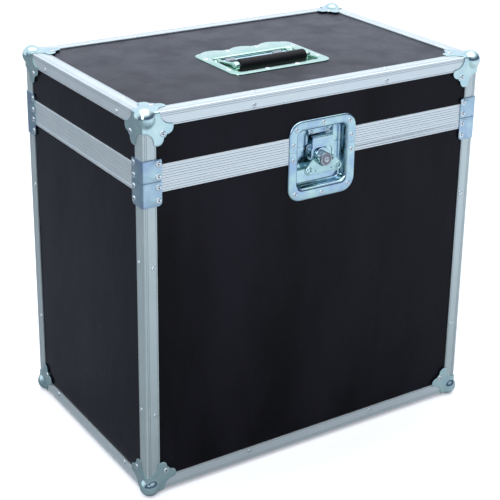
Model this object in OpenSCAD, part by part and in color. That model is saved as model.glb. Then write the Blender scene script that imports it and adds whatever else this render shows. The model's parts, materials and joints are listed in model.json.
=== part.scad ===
// Upright record carrying case: plywood panels held in aluminium edge profiles,
// steel ball corners, a hinged lid on a tongue and groove rim, a recessed
// butterfly latch at the front and a recessed spring handle on top.
// Millimetres. +Z is up, the latch faces -Y, and the origin is the middle of
// the plane that the four bottom balls stand on.

/* [Case] */
// Width over the aluminium profiles, left to right
case_w = 530; // [430:1:640]
// Depth over the aluminium profiles, front to back
case_d = 342; // [280:1:420]
// Height over the aluminium profiles
case_h = 529; // [430:1:640]
// Height of the lid above the seam
lid_h = 88.3; // [72:0.1:110]
// Thickness of the plywood panels
panel_t = 7; // [5:0.5:9]

/* [Edge profiles] */
// Outer leg of the edge angle
leg_w = 19; // [18:0.5:22]
// Thickness of the outer leg
leg_t = 1.5; // [1.2:0.1:2]
// Reach of the inner leg, measured from the outer face beside it
inner_leg_w = 18; // [16:0.5:20]
// Thickness of the inner leg
inner_t = 1.2; // [1:0.1:1.6]
// Height of the lid's rim profile on the outside
lid_rim_h = 20.7; // [18:0.1:26]
// Height of the base's rim profile on the outside
base_rim_h = 15.5; // [13:0.1:20]
// Width of the tongue under the lid's rim
tongue_w = 5; // [3:0.1:5]
// Depth that the tongue reaches below the seam
tongue_h = 4; // [2:0.1:4.5]
// Gap between the lid and the base at the seam
seam_gap = 0.3; // [0.2:0.1:1]
// Clearance on each side of a panel in its slot
slot_gap = 0.1; // [0.05:0.05:0.2]

/* [Ball corners] */
// Radius of the ball
ball_r = 13.5; // [12:0.5:16]
// Depth of the ball's centre below each outer face
ball_in = 7; // [6:0.5:8]
// Wall of the pressed ball
ball_t = 2; // [1.5:0.1:3]
// Thickness of the three leaves
leaf_t = 1.2; // [1:0.1:1.6]
// Radius of a leaf's lobe
lobe_r = 8.5; // [7:0.5:10]
// Depth of the flat that a bottom ball stands on
foot_flat = 0.7; // [0.4:0.1:1]

/* [Rivets] */
// Radius of a rivet's shank
rivet_r = 2; // [1.6:0.1:2.4]
// Radial clearance of a shank in its hole
rivet_gap = 0.05; // [0.02:0.01:0.1]
// Pitch of the two rivets along each leg
rivet_pitch = 210; // [120:5:240]

/* [Latch] */
// Width of the latch flange
latch_w = 107.5; // [100:0.5:120]
// Middle of the latch, to the right of the middle of the case
latch_x = 2.4; // [0:0.1:6]
// Height of the flange above the seam
latch_up = 41.6; // [40:0.1:48]
// Height of the flange below the seam
latch_down = 69.8; // [66:0.1:80]
// Width of the flange from its edge to the recess
latch_rim = 15.5; // [15:0.1:17]
// Depth of the recess below the flange's outer face
latch_depth = 14; // [13.8:0.1:18]
// Radius of the rotor's stud
stud_r = 9; // [8:0.5:9.5]
// Throw of the rotor's eccentric
eccentric_e = 3; // [2.5:0.1:3]
// Longest reach of the wing from the rotor's axis
wing_max = 34; // [30:0.5:34]

/* [Handle] */
// Width of the handle plate
handle_w = 158; // [150:1:180]
// Depth of the handle plate, front to back
handle_d = 115; // [110:1:130]
// Middle of the handle plate, from the middle of the case (front is negative)
handle_y = -27.5; // [-32:0.5:0]
// Depth of the handle's recess below the top of the profiles
handle_depth = 13; // [12:0.5:18]
// Longest length of the grip, where the dish has room for it
grip_l = 107; // [95:1:107]
// Radius of the grip
grip_r = 9; // [7:0.5:9.5]

/* [Hinges] */
// Distance of each hinge from the middle
hinge_x = 150; // [110:1:170]
// Width of a hinge
hinge_w = 60; // [50:1:70]
// Radius of the hinge knuckle
knuckle_r = 4; // [3.5:0.1:4.5]
// Radius of the hinge pin
hinge_pin_r = 2.2; // [1.8:0.1:2.4]
// Opening angle at which the stop ears meet
open_angle = 100; // [95:1:105]

/* [Foam] */
// Thickness of the floor pad
floor_pad_t = 10; // [5:1:20]
// Thickness of the lid pad
lid_pad_t = 8; // [5:1:15]

/* [Hidden] */
$fn = 48;

// Colours, as seen
film = "#26232c";
alu = "#c3cbd2";
zinc = "#b7cbd0";
rubber = "#1c1d20";
foam = "#3b3d42";

// Heights of the main planes
z_bot = ball_r - ball_in - foot_flat;
z_top = z_bot + case_h;
base_h = case_h - lid_h;
z_seam = z_bot + base_h;

// Depths measured inwards from the outer face of the profiles
panel_n = leg_t + slot_gap;
panel_back = panel_n + panel_t;
channel = panel_back + slot_gap;
wall_n = channel + inner_t;
panel_inset = wall_n + slot_gap;
joint_gap = 0.1;
corner_trim = ball_in + 2;
eps = 0.01;
far = 60;

// Fine lines pressed along the visible legs
line_w = 0.7;
line_d = 0.3;
edge_lines = [3, 5.4, leg_w - 2];
rim_line_pitch = 3.4;
bead_r = 0.8;
corner_round = 1.5;

// Rim profiles, heights from the seam
groove_floor = -(tongue_h + 0.6);
rim_web = 1.2;
base_panel_top = groove_floor - rim_web - slot_gap;
groove_wall = 1.5;
lid_web = 2;
lid_panel_low = seam_gap + lid_web + slot_gap;
lid_inner_h = lid_rim_h - 3.7;
tongue_n = leg_t + 0.7;

// Leaves of a ball corner, measured from the corner along its two edges
leaf_reach = 43;
lobe_far = leaf_reach - lobe_r;
lobe_near = 21;
leaf_edge = 24.5;
leaf_cut_r = 15.5;
leaf_rivet = 28;
leaf_rivet_pad = 6;

// Braces over the seam at the four upright corners
brace_t = 1.3;
brace_leg = 26;
brace_up = 29;
brace_down = 32.3;
brace_round = 5.5;
brace_top_round = 2.5;
brace_rivet_in = 21.3;
brace_rivets_lid = [5.8, 22.4];
brace_rivets_base = [-8.5, -25.2];

// Rivets: how far crossing rows step apart, and how far a row lies from the outer corner
rivet_step = 6;
hole_n = wall_n + 1.2;
edge_head_r = 3.2;
brace_head_r = 4;
latch_head_r = 3;
head_h = 1.1;
tail_r = 2.7;
tail_h = 2.4;
rivet_in = wall_n + tail_r + 0.9;
mandrel_r = 0.9;
mandrel_h = 0.7;
function rivet_half(len) = min(rivet_pitch, len - 2 * (leaf_reach + 12)) / 2;
rivet_x = rivet_half(case_w);
rivet_y = rivet_half(case_d);
rivet_z = rivet_half(base_h);
upright_mid = z_bot + base_h / 2;

// Latch, in its own frame: x to the right, y up from the seam, z outwards
flange_t = 1.5;
dish_t = 1.2;
latch_hw = latch_w / 2;
well_hw = latch_hw - latch_rim - 0.25;
well_top = latch_up - latch_rim + 0.2;
well_low = -(latch_down - latch_rim - 2.6);
well_floor = flange_t - latch_depth;
well_round = 8;
flange_round = 20;
cut_gap = 0.5;
latch_corner_in = 11.2;
latch_mid_in = 7;
latch_side_up = 10;
latch_side_down = -11;
rotor_x = 3.3;
rotor_y = -16.2;
shaft_r = 4;
run_gap = 0.05;
claw_t = 1.5;
claw_z = -2.9;
claw_in = 3.4;
claw_drop = 2 * eccentric_e;
eccentric_r = 11;
eccentric_back = claw_z - claw_t - claw_in - 0.3;
boss_r = 8;
boss_z = eccentric_back - 0.3;
window_slack = 0.95;
stud_front = 6.5;
stud_chamfer = 1;
retainer_r = 7;
retainer_t = 1.5;
retainer_pin_r = 3;
wing_t = 2;
wing_z = -0.3;
wing_pivot_z = 2.5;
wing_pin_r = 1.5;
wing_ear_in = stud_r + 1.4;
wing_ear_t = 2;
wing_ear_r = 3.3;
wing_cut_r = stud_r + 1.3;
wing_reach = min(wing_max, well_hw - rotor_x - 1);
wing_lobe_r = wing_reach * 0.19;
lobe_hole_r = wing_lobe_r / 2;
wing_lobe_x = wing_reach * 0.69;
wing_top_x = wing_lobe_x - 5.5;
wing_lobe_y = -sqrt(pow(wing_reach - wing_lobe_r, 2) - pow(wing_lobe_x, 2));
wing_pin_l = 2 * (wing_ear_in + wing_ear_t) + 0.4;
keeper_t = 1;
keeper_lip_t = 1.5;
keeper_low = 2;
keeper_lip_top = 7;
keeper_top = 24;
keeper_front = -8.1;
keeper_hw = 14;
keeper_plate_hw = 22;
keeper_rivet_x = 13;
keeper_rivet_y = 19;
hook_t = 1.8;
hook_hw = 16;
hook_low = keeper_lip_top + 0.3 + claw_drop;
hook_in = keeper_front + 0.4;
claw_frame = 4;
claw_neck_hw = 17;

// Handle, in its own frame: origin over the middle of the plate, on top of the profiles
handle_rim_x = 13;
handle_rim_front = 12.5;
handle_rim_back = 29;
handle_round = 14;
handle_well_round = 8;
bump_r = 25;
bump_out = 7;
bump_x = handle_w / 2 - 31;
handle_front = -handle_d / 2 + handle_rim_front;
handle_back = handle_d / 2 - handle_rim_back;
pin_r = 3;
pin_y = handle_back - 7;
pin_eye_r = 5.5;
pin_z = pin_eye_r + 1.5 - handle_depth;
ear_in = handle_w / 2 - handle_rim_x - 5;
ear_t = 2.5;
ear_r = 5;
bail_t = 4;
bail_in = min(grip_l / 2 + 1.5, ear_in - bail_t - 2);
grip_len = 2 * bail_in - 3;
bail_h = 8;
grip_y = max(pin_y - 45, handle_front + grip_r + 4);
grip_z = 1;
grip_bar_r = 4;
collar_r = 6;
handle_rivet_x = 24;
handle_rivet_in = 6.5;
handle_side_y = 30;
spring_wire = 0.6;
spring_mean = pin_r + 0.25 + spring_wire;
spring_pitch = 1.15;
spring_turns = 14;
spring_x = bail_in - 24;

// Hinges, in their own frame: x along the pin, y outwards, z up from the pin
hinge_t = 1.5;
hinge_gap = 0.3;
hinge_axis_out = knuckle_r + 0.5;
leaf_h = 32;
lid_knuckle_hw = 9.9;
hinge_rivet_x = 20;
hinge_rivets_lid = [9, 26];
hinge_rivets_base = [-11.2, -26];
pin_head_r = 3.2;
pin_head_t = 1;
ear_blade = 2;
ear_tip = knuckle_r + 5.2;
shelf_top = -7;
shelf_t = 1.5;
ear_meet = asin(-shelf_top / ear_tip);

// Pads
pad_in = leg_w;
pad_gap = 0.2;
pad_hole_r = 5;

// Faces of the case
FRONT = 0;
BACK = 1;
LEFT = 2;
RIGHT = 3;
BOTTOM = 4;
TOP = 5;

// Rivets of one face: [u, v, depth of the head's seat, depth of the tail's seat, head radius]
function edge_rivet(u, v) = [u, v, 0, wall_n, edge_head_r];
function leaf_rivet_at(u, v) = [u, v, -leaf_t, panel_back, brace_head_r];
function brace_rivet(u, v, tail) = [u, v, -brace_t, tail, brace_head_r];
function latch_rivet(x, y, tail) = [latch_x + x, z_seam + y, -flange_t, tail, latch_head_r];
function hinge_rivet(u, v, tail) = [u, v, -hinge_t, tail, brace_head_r];
function plate_rivet(u, v) = [u, v, slot_gap, panel_back, brace_head_r];
function half_across(face) = face == FRONT || face == BACK ? case_w / 2 : case_d / 2;
function rivet_across(face) = face == FRONT || face == BACK ? rivet_x : rivet_y;
function upright_shift(face) = face == FRONT || face == BACK ? 0 : rivet_step;

function wall_rivets_base(face) = [
    for (s = [-1, 1]) edge_rivet(s * rivet_across(face), z_bot + rivet_in),
    for (s = [-1, 1]) for (t = [-1, 1])
        edge_rivet(s * (half_across(face) - rivet_in), upright_mid + t * rivet_z + upright_shift(face)),
    for (s = [-1, 1]) leaf_rivet_at(s * (half_across(face) - leaf_rivet), z_bot + leaf_rivet),
    for (s = [-1, 1]) for (y = brace_rivets_base)
        brace_rivet(s * (half_across(face) - brace_rivet_in), z_seam + y,
            y > -base_rim_h ? wall_n : panel_back)
];
function wall_rivets_lid(face) = [
    for (s = [-1, 1]) edge_rivet(s * rivet_across(face), z_top - rivet_in),
    for (s = [-1, 1]) leaf_rivet_at(s * (half_across(face) - leaf_rivet), z_top - leaf_rivet),
    for (s = [-1, 1]) for (y = brace_rivets_lid)
        brace_rivet(s * (half_across(face) - brace_rivet_in), z_seam + y,
            y < lid_inner_h ? wall_n : panel_back)
];
function flat_rivets() = [
    for (s = [-1, 1]) for (t = [-1, 1]) edge_rivet(t * rivet_x + rivet_step, s * (case_d / 2 - rivet_in)),
    for (s = [-1, 1]) for (t = [-1, 1]) edge_rivet(s * (case_w / 2 - rivet_in), t * rivet_y + rivet_step),
    for (s = [-1, 1]) for (t = [-1, 1])
        leaf_rivet_at(s * (case_w / 2 - leaf_rivet), t * (case_d / 2 - leaf_rivet))
];
latch_rivets_base = [
    for (s = [-1, 1]) latch_rivet(s * (latch_hw - latch_corner_in), latch_corner_in - latch_down, panel_back),
    latch_rivet(0, latch_mid_in - latch_down, panel_back),
    for (s = [-1, 1]) latch_rivet(s * (latch_hw - latch_mid_in), latch_side_down, wall_n)
];
latch_rivets_lid = [
    for (s = [-1, 1]) latch_rivet(s * (latch_hw - latch_corner_in), latch_up - latch_corner_in, panel_back),
    latch_rivet(0, latch_up - latch_mid_in, panel_back),
    for (s = [-1, 1]) latch_rivet(s * (latch_hw - latch_mid_in), latch_side_up, wall_n)
];
hinge_base_rivets = [
    for (h = [-1, 1]) for (s = [-1, 1]) for (y = hinge_rivets_base)
        hinge_rivet(h * hinge_x + s * hinge_rivet_x, z_seam + y, y > -base_rim_h ? wall_n : panel_back)
];
hinge_lid_rivets = [
    for (h = [-1, 1]) for (s = [-1, 1]) for (y = hinge_rivets_lid)
        hinge_rivet(h * hinge_x + s * hinge_rivet_x, z_seam + y, y < lid_inner_h ? wall_n : panel_back)
];
handle_rivets = [
    for (s = [-1, 1]) for (t = [-1, 1])
        plate_rivet(s * handle_rivet_x, handle_y + t * (handle_d / 2 - handle_rivet_in)),
    for (s = [-1, 1]) for (t = [-1, 1])
        plate_rivet(s * (handle_w / 2 - handle_rivet_in), handle_y + t * handle_side_y)
];
base_list = [
    concat(wall_rivets_base(FRONT), latch_rivets_base),
    concat(wall_rivets_base(BACK), hinge_base_rivets),
    wall_rivets_base(LEFT),
    wall_rivets_base(RIGHT),
    flat_rivets(),
    []
];
lid_list = [
    concat(wall_rivets_lid(FRONT), latch_rivets_lid),
    concat(wall_rivets_lid(BACK), hinge_lid_rivets),
    wall_rivets_lid(LEFT),
    wall_rivets_lid(RIGHT),
    [],
    concat(flat_rivets(), handle_rivets)
];

// Places a child on a face: its z points outwards, and z = 0 is the profiles' outer face.
module at_face(face, u, v) {
    if (face == FRONT) translate([u, -case_d / 2, v]) rotate([90, 0, 0]) children();
    if (face == BACK) translate([u, case_d / 2, v]) rotate([-90, 0, 0]) children();
    if (face == LEFT) translate([-case_w / 2, u, v]) rotate([0, -90, 0]) children();
    if (face == RIGHT) translate([case_w / 2, u, v]) rotate([0, 90, 0]) children();
    if (face == BOTTOM) translate([u, v, z_bot]) rotate([180, 0, 0]) children();
    if (face == TOP) translate([u, v, z_top]) children();
}

module rivet_holes(list, faces) {
    for (face = faces) for (p = list[face])
        at_face(face, p[0], p[1])
            translate([0, 0, -hole_n]) cylinder(h = hole_n + far / 10, r = rivet_r + rivet_gap);
}

// A blind rivet: low domed head with its mandrel hole, shank, and the bulb behind.
module rivet(seat, tail, head) {
    translate([0, 0, -seat]) rotate_extrude() polygon([
        [0, seat - tail - tail_h], [tail_r * 0.7, seat - tail - tail_h], [tail_r, seat - tail - tail_h / 2],
        [tail_r, seat - tail], [rivet_r, seat - tail], [rivet_r, 0], [head, 0], [head * 0.93, head_h * 0.45],
        [head * 0.7, head_h * 0.85], [head * 0.4, head_h], [mandrel_r, head_h],
        [mandrel_r, head_h - mandrel_h], [0, head_h - mandrel_h]
    ]);
}

module all_rivets(list) {
    for (face = [FRONT, BACK, LEFT, RIGHT, BOTTOM, TOP]) for (p = list[face])
        at_face(face, p[0], p[1]) rivet(p[2], p[3], p[4]);
}

module mirror_x(on) {
    if (on) mirror([1, 0, 0]) children();
    else children();
}

module mirror_y(on) {
    if (on) mirror([0, 1, 0]) children();
    else children();
}

// Turns the base's bottom corner into the lid's top corner.
module flip_z(on) {
    if (on) translate([0, 0, z_bot + z_top]) mirror([0, 0, 1]) children();
    else children();
}

// Extrudes a section in y and z along x.
module along_x(len) {
    rotate([90, 0, 90]) linear_extrude(len) children();
}

// What a rounding of radius r takes off the corner at the origin.
module corner_cut(r) {
    difference() {
        translate([-1, -1]) square(r + 1);
        translate([r, r]) circle(r);
    }
}

module rounded_box(x0, y0, x1, y1, r) {
    translate([x0 + r, y0]) square([x1 - x0 - 2 * r, y1 - y0]);
    translate([x0, y0 + r]) square([x1 - x0, y1 - y0 - 2 * r]);
    for (x = [x0 + r, x1 - r]) for (y = [y0 + r, y1 - r]) translate([x, y]) circle(r);
}

// Section of the edge angle: outer legs, and inner legs that make a slot for each panel.
module angle_section() {
    difference() {
        union() {
            square([leg_w, leg_t]);
            square([leg_t, leg_w]);
            translate([channel, 0]) square([inner_t, inner_leg_w]);
            translate([0, channel]) square([inner_leg_w, inner_t]);
        }
        corner_cut(corner_round);
        for (p = edge_lines) {
            translate([p, -1]) square([line_w, 1 + line_d]);
            translate([-1, p]) square([1 + line_d, line_w]);
        }
    }
}

// Plan of an edge bar: mitred at 45 degrees and cut short under the ball where m is 1, square where it is 0.
module mitre_plan(len, m0, m1) {
    w = leg_w + 2;
    g = joint_gap;
    polygon([
        [m0 * corner_trim, -1], [m0 * corner_trim, corner_trim - g], [m0 * (w + g), w],
        [len - m1 * (w + g), w], [len - m1 * corner_trim, corner_trim - g], [len - m1 * corner_trim, -1]
    ]);
}

module edge_bar(len, m0, m1) {
    w = leg_w + 2;
    intersection() {
        along_x(len) angle_section();
        translate([0, 0, -1]) linear_extrude(w + 1) mitre_plan(len, m0, m1);
        translate([0, w, 0]) rotate([90, 0, 0]) linear_extrude(w + 1) mitre_plan(len, m0, m1);
    }
}

module edge_along_x(back, top) {
    flip_z(top) mirror_y(back)
        translate([-case_w / 2, -case_d / 2, z_bot]) edge_bar(case_w, 1, 1);
}

module edge_along_y(right, top) {
    flip_z(top) mirror_x(!right)
        translate([case_w / 2, -case_d / 2, z_bot]) rotate([0, 0, 90]) edge_bar(case_d, 1, 1);
}

module uprights(len, top) {
    flip_z(top) for (right = [false, true]) for (back = [false, true])
        mirror_x(right) mirror_y(back)
            translate([-case_w / 2, -case_d / 2, z_bot]) rotate([0, -90, -90]) edge_bar(len, 1, 0);
}

// Sections of the two rim profiles, with y inwards from the outer face and z up from the seam.
module groove_section() {
    low = -base_rim_h;
    difference() {
        union() {
            translate([0, low]) square([leg_t, base_rim_h]);
            translate([0, groove_floor - rim_web]) square([wall_n, rim_web]);
            translate([channel, low]) square([inner_t, base_rim_h + groove_floor]);
            translate([wall_n - groove_wall, groove_floor - rim_web])
                square([groove_wall, rim_web - groove_floor]);
        }
        translate([0, low]) corner_cut(bead_r);
        for (i = [1:4]) translate([-1, low + (i - 0.4) * rim_line_pitch]) square([1 + line_d, line_w]);
    }
}

module tongue_section() {
    difference() {
        union() {
            translate([0, seam_gap]) square([leg_t, lid_rim_h - seam_gap]);
            translate([0, seam_gap]) square([wall_n, lid_web]);
            translate([channel, seam_gap]) square([inner_t, lid_inner_h - seam_gap]);
            translate([tongue_n, -tongue_h]) square([tongue_w, tongue_h + seam_gap + eps]);
        }
        translate([0, lid_rim_h]) mirror([0, 1]) corner_cut(bead_r);
        for (i = [1:5]) translate([-1, (i - 0.3) * rim_line_pitch]) square([1 + line_d, line_w]);
    }
}

module rim_plan(len) {
    w = wall_n + 2;
    g = joint_gap;
    polygon([[g - 1, -1], [w + g, w], [len - w - g, w], [len - g + 1, -1]]);
}

module rim_bar(len) {
    intersection() {
        along_x(len) children();
        translate([0, 0, -base_rim_h - 1]) linear_extrude(base_rim_h + lid_rim_h + 2) rim_plan(len);
    }
}

module rim_along_x(back) {
    mirror_y(back) translate([-case_w / 2, -case_d / 2, z_seam]) rim_bar(case_w) children();
}

module rim_along_y(right) {
    mirror_x(!right) translate([case_w / 2, -case_d / 2, z_seam]) rotate([0, 0, 90])
        rim_bar(case_d) children();
}

// Room in the front wall for the latch's recess.
module latch_cutout() {
    g = dish_t + cut_gap;
    at_face(FRONT, latch_x, z_seam)
        translate([-well_hw - g, well_low - g, -far / 2])
            cube([2 * (well_hw + g), well_top - well_low + 2 * g, far]);
}

module panel_x(face, low, high) {
    y = face == FRONT ? -case_d / 2 + panel_n : case_d / 2 - panel_back;
    translate([-case_w / 2 + panel_inset, y, low]) cube([case_w - 2 * panel_inset, panel_t, high - low]);
}

module panel_y(face, low, high) {
    x = face == LEFT ? -case_w / 2 + panel_n : case_w / 2 - panel_back;
    translate([x, -case_d / 2 + panel_inset, low]) cube([panel_t, case_d - 2 * panel_inset, high - low]);
}

module panel_flat(z) {
    translate([-case_w / 2 + panel_inset, -case_d / 2 + panel_inset, z])
        cube([case_w - 2 * panel_inset, case_d - 2 * panel_inset, panel_t]);
}

panel_low = z_bot + panel_inset;
panel_high = z_top - panel_inset;
base_high = z_seam + base_panel_top;
lid_low = z_seam + lid_panel_low;

module bottom_panel() {
    color(film) difference() {
        panel_flat(z_bot + panel_n);
        rivet_holes(base_list, [BOTTOM]);
    }
}

module front_panel() {
    color(film) difference() {
        panel_x(FRONT, panel_low, base_high);
        latch_cutout();
        rivet_holes(base_list, [FRONT]);
    }
}

module back_panel() {
    color(film) difference() {
        panel_x(BACK, panel_low, base_high);
        rivet_holes(base_list, [BACK]);
    }
}

module left_panel() {
    color(film) difference() {
        panel_y(LEFT, panel_low, base_high);
        rivet_holes(base_list, [LEFT]);
    }
}

module right_panel() {
    color(film) difference() {
        panel_y(RIGHT, panel_low, base_high);
        rivet_holes(base_list, [RIGHT]);
    }
}

module top_panel() {
    g = dish_t + cut_gap;
    color(film) difference() {
        panel_flat(z_top - panel_back);
        translate([-handle_w / 2 + handle_rim_x - g, handle_y + handle_front - g, z_top - far / 2])
            cube([handle_w - 2 * handle_rim_x + 2 * g, handle_back - handle_front + 2 * g, far]);
        rivet_holes(lid_list, [TOP]);
    }
}

module lid_front_panel() {
    color(film) difference() {
        panel_x(FRONT, lid_low, panel_high);
        latch_cutout();
        rivet_holes(lid_list, [FRONT]);
    }
}

module lid_back_panel() {
    color(film) difference() {
        panel_x(BACK, lid_low, panel_high);
        rivet_holes(lid_list, [BACK]);
    }
}

module lid_left_panel() {
    color(film) difference() {
        panel_y(LEFT, lid_low, panel_high);
        rivet_holes(lid_list, [LEFT]);
    }
}

module lid_right_panel() {
    color(film) difference() {
        panel_y(RIGHT, lid_low, panel_high);
        rivet_holes(lid_list, [RIGHT]);
    }
}

module bottom_edge_front() {
    color(alu) difference() {
        edge_along_x(false, false);
        rivet_holes(base_list, [FRONT, BOTTOM]);
    }
}

module bottom_edge_back() {
    color(alu) difference() {
        edge_along_x(true, false);
        rivet_holes(base_list, [BACK, BOTTOM]);
    }
}

module bottom_edge_left() {
    color(alu) difference() {
        edge_along_y(false, false);
        rivet_holes(base_list, [LEFT, BOTTOM]);
    }
}

module bottom_edge_right() {
    color(alu) difference() {
        edge_along_y(true, false);
        rivet_holes(base_list, [RIGHT, BOTTOM]);
    }
}

module base_uprights() {
    color(alu) difference() {
        uprights(base_h - base_rim_h - joint_gap, false);
        rivet_holes(base_list, [FRONT, BACK, LEFT, RIGHT]);
    }
}

module top_edge_front() {
    color(alu) difference() {
        edge_along_x(false, true);
        rivet_holes(lid_list, [FRONT, TOP]);
    }
}

module top_edge_back() {
    color(alu) difference() {
        edge_along_x(true, true);
        rivet_holes(lid_list, [BACK, TOP]);
    }
}

module top_edge_left() {
    color(alu) difference() {
        edge_along_y(false, true);
        rivet_holes(lid_list, [LEFT, TOP]);
    }
}

module top_edge_right() {
    color(alu) difference() {
        edge_along_y(true, true);
        rivet_holes(lid_list, [RIGHT, TOP]);
    }
}

module lid_uprights() {
    color(alu) uprights(lid_h - lid_rim_h - joint_gap, true);
}

module groove_rim_front() {
    color(alu) difference() {
        rim_along_x(false) groove_section();
        latch_cutout();
        rivet_holes(base_list, [FRONT]);
    }
}

module groove_rim_back() {
    color(alu) difference() {
        rim_along_x(true) groove_section();
        rivet_holes(base_list, [BACK]);
    }
}

module groove_rim_left() {
    color(alu) difference() {
        rim_along_y(false) groove_section();
        rivet_holes(base_list, [LEFT]);
    }
}

module groove_rim_right() {
    color(alu) difference() {
        rim_along_y(true) groove_section();
        rivet_holes(base_list, [RIGHT]);
    }
}

module tongue_rim_front() {
    color(alu) difference() {
        rim_along_x(false) tongue_section();
        latch_cutout();
        rivet_holes(lid_list, [FRONT]);
    }
}

module tongue_rim_back() {
    color(alu) difference() {
        rim_along_x(true) tongue_section();
        rivet_holes(lid_list, [BACK]);
    }
}

module tongue_rim_left() {
    color(alu) difference() {
        rim_along_y(false) tongue_section();
        rivet_holes(lid_list, [LEFT]);
    }
}

module tongue_rim_right() {
    color(alu) difference() {
        rim_along_y(true) tongue_section();
        rivet_holes(lid_list, [RIGHT]);
    }
}

// Outline of one leaf, from the corner along its two edges: two lobes and a pad for the rivet between them.
module leaf_outline() {
    t = leaf_t;
    cut = leaf_edge + leaf_cut_r;
    side = leaf_cut_r - 0.5;
    difference() {
        union() {
            polygon([
                [-t, -t], [cut, -t], [leaf_reach, side],
                [leaf_rivet, leaf_rivet], [side, leaf_reach], [-t, cut]
            ]);
            translate([lobe_far, lobe_near]) circle(lobe_r);
            translate([lobe_near, lobe_far]) circle(lobe_r);
            translate([leaf_rivet, leaf_rivet]) circle(leaf_rivet_pad);
        }
        translate([cut, 0]) circle(leaf_cut_r);
        translate([0, cut]) circle(leaf_cut_r);
    }
}

// A ball corner at the origin, with the case towards +x, +y and +z.
module ball_corner() {
    difference() {
        union() {
            translate([ball_in, ball_in, ball_in]) sphere(ball_r);
            translate([0, 0, -leaf_t]) linear_extrude(leaf_t) leaf_outline();
            translate([0, 0, 0]) rotate([90, 0, 0]) linear_extrude(leaf_t) leaf_outline();
            rotate([90, 0, 90]) translate([0, 0, -leaf_t]) linear_extrude(leaf_t) leaf_outline();
        }
        translate([ball_in, ball_in, ball_in]) sphere(ball_r - ball_t);
        difference() {
            cube(far);
            translate([-1, -1, -1]) cube(corner_trim + 1 - joint_gap);
        }
    }
}

module placed_corner(right, back, top) {
    color(zinc) difference() {
        flip_z(top) mirror_x(right) mirror_y(back)
            translate([-case_w / 2, -case_d / 2, z_bot]) ball_corner();
        if (!top) translate([-case_w, -case_d, -far]) cube([2 * case_w, 2 * case_d, far]);
        rivet_holes(top ? lid_list : base_list,
            [back ? BACK : FRONT, right ? RIGHT : LEFT, top ? TOP : BOTTOM]);
    }
}

module foot_corner_front_left() placed_corner(false, false, false);
module foot_corner_front_right() placed_corner(true, false, false);
module foot_corner_back_left() placed_corner(false, true, false);
module foot_corner_back_right() placed_corner(true, true, false);
module top_corner_front_left() placed_corner(false, false, true);
module top_corner_front_right() placed_corner(true, false, true);
module top_corner_back_left() placed_corner(false, true, true);
module top_corner_back_right() placed_corner(true, true, true);

// One leg of a brace: u along the face from the corner, v away from the seam.
module brace_outline(h, r) {
    difference() {
        translate([-brace_t, 0]) square([brace_leg + brace_t, h]);
        translate([brace_leg, h]) rotate(180) corner_cut(r);
    }
}

module brace(h, r) {
    rotate([90, 0, 0]) linear_extrude(brace_t) brace_outline(h, r);
    rotate([90, 0, 90]) translate([0, 0, -brace_t]) linear_extrude(brace_t) brace_outline(h, r);
}

module four_braces(h, r) {
    for (right = [false, true]) for (back = [false, true])
        mirror_x(right) mirror_y(back) translate([-case_w / 2, -case_d / 2, 0]) brace(h, r);
}

module base_braces() {
    color(zinc) difference() {
        translate([0, 0, z_seam]) mirror([0, 0, 1]) four_braces(brace_down, brace_round);
        rivet_holes(base_list, [FRONT, BACK, LEFT, RIGHT]);
    }
}

module lid_braces() {
    color(zinc) difference() {
        translate([0, 0, z_seam + seam_gap]) four_braces(brace_up - seam_gap, brace_top_round);
        rivet_holes(lid_list, [FRONT, BACK, LEFT, RIGHT]);
    }
}

module base_rivets() color(zinc) all_rivets(base_list);

module lid_rivets() {
    color(zinc) {
        all_rivets(lid_list);
        for (s = [-1, 1])
            in_latch(rotor_x + s * keeper_rivet_x, keeper_rivet_y)
                rivet(-(well_floor + keeper_t), -(well_floor - dish_t), 2.5);
    }
}

// Frame of the latch, moved to a point of it.
module in_latch(x, y) {
    at_face(FRONT, latch_x + x, z_seam + y) children();
}

module well_outline(grow) {
    rounded_box(-well_hw - grow, well_low - grow, well_hw + grow, well_top + grow, well_round + grow);
}

// The whole latch pan: flange on the band, skirt down to the panels, and the recess.
module latch_pan() {
    difference() {
        union() {
            difference() {
                translate([0, 0, -panel_n]) linear_extrude(panel_n + flange_t)
                    rounded_box(-latch_hw, -latch_down, latch_hw, latch_up, flange_round);
                translate([-latch_w, -base_rim_h - joint_gap, -far])
                    cube([2 * latch_w, base_rim_h + lid_rim_h + 2 * joint_gap, far]);
            }
            translate([0, 0, well_floor - dish_t]) linear_extrude(flange_t + dish_t - well_floor - eps)
                well_outline(dish_t);
        }
        translate([0, 0, well_floor]) linear_extrude(far) well_outline(0);
    }
}

module latch_dish() {
    color(zinc) difference() {
        in_latch(0, 0) difference() {
            union() {
                latch_pan();
                translate([rotor_x, rotor_y, well_floor - eps])
                    cylinder(h = boss_z - well_floor + eps, r = boss_r);
            }
            translate([rotor_x, rotor_y, -far]) cylinder(h = 2 * far, r = shaft_r + run_gap);
            translate([-latch_w, 0, -far]) cube([2 * latch_w, latch_w, 2 * far]);
        }
        rivet_holes(base_list, [FRONT]);
    }
}

module latch_lid_dish() {
    color(zinc) difference() {
        in_latch(0, 0) difference() {
            latch_pan();
            translate([-latch_w, seam_gap - latch_w, -far]) cube([2 * latch_w, latch_w, 2 * far]);
            keeper_holes();
        }
        rivet_holes(lid_list, [FRONT]);
    }
}

module keeper_holes() {
    for (s = [-1, 1]) translate([rotor_x + s * keeper_rivet_x, keeper_rivet_y, -far])
        cylinder(h = far, r = rivet_r + rivet_gap);
}

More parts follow.
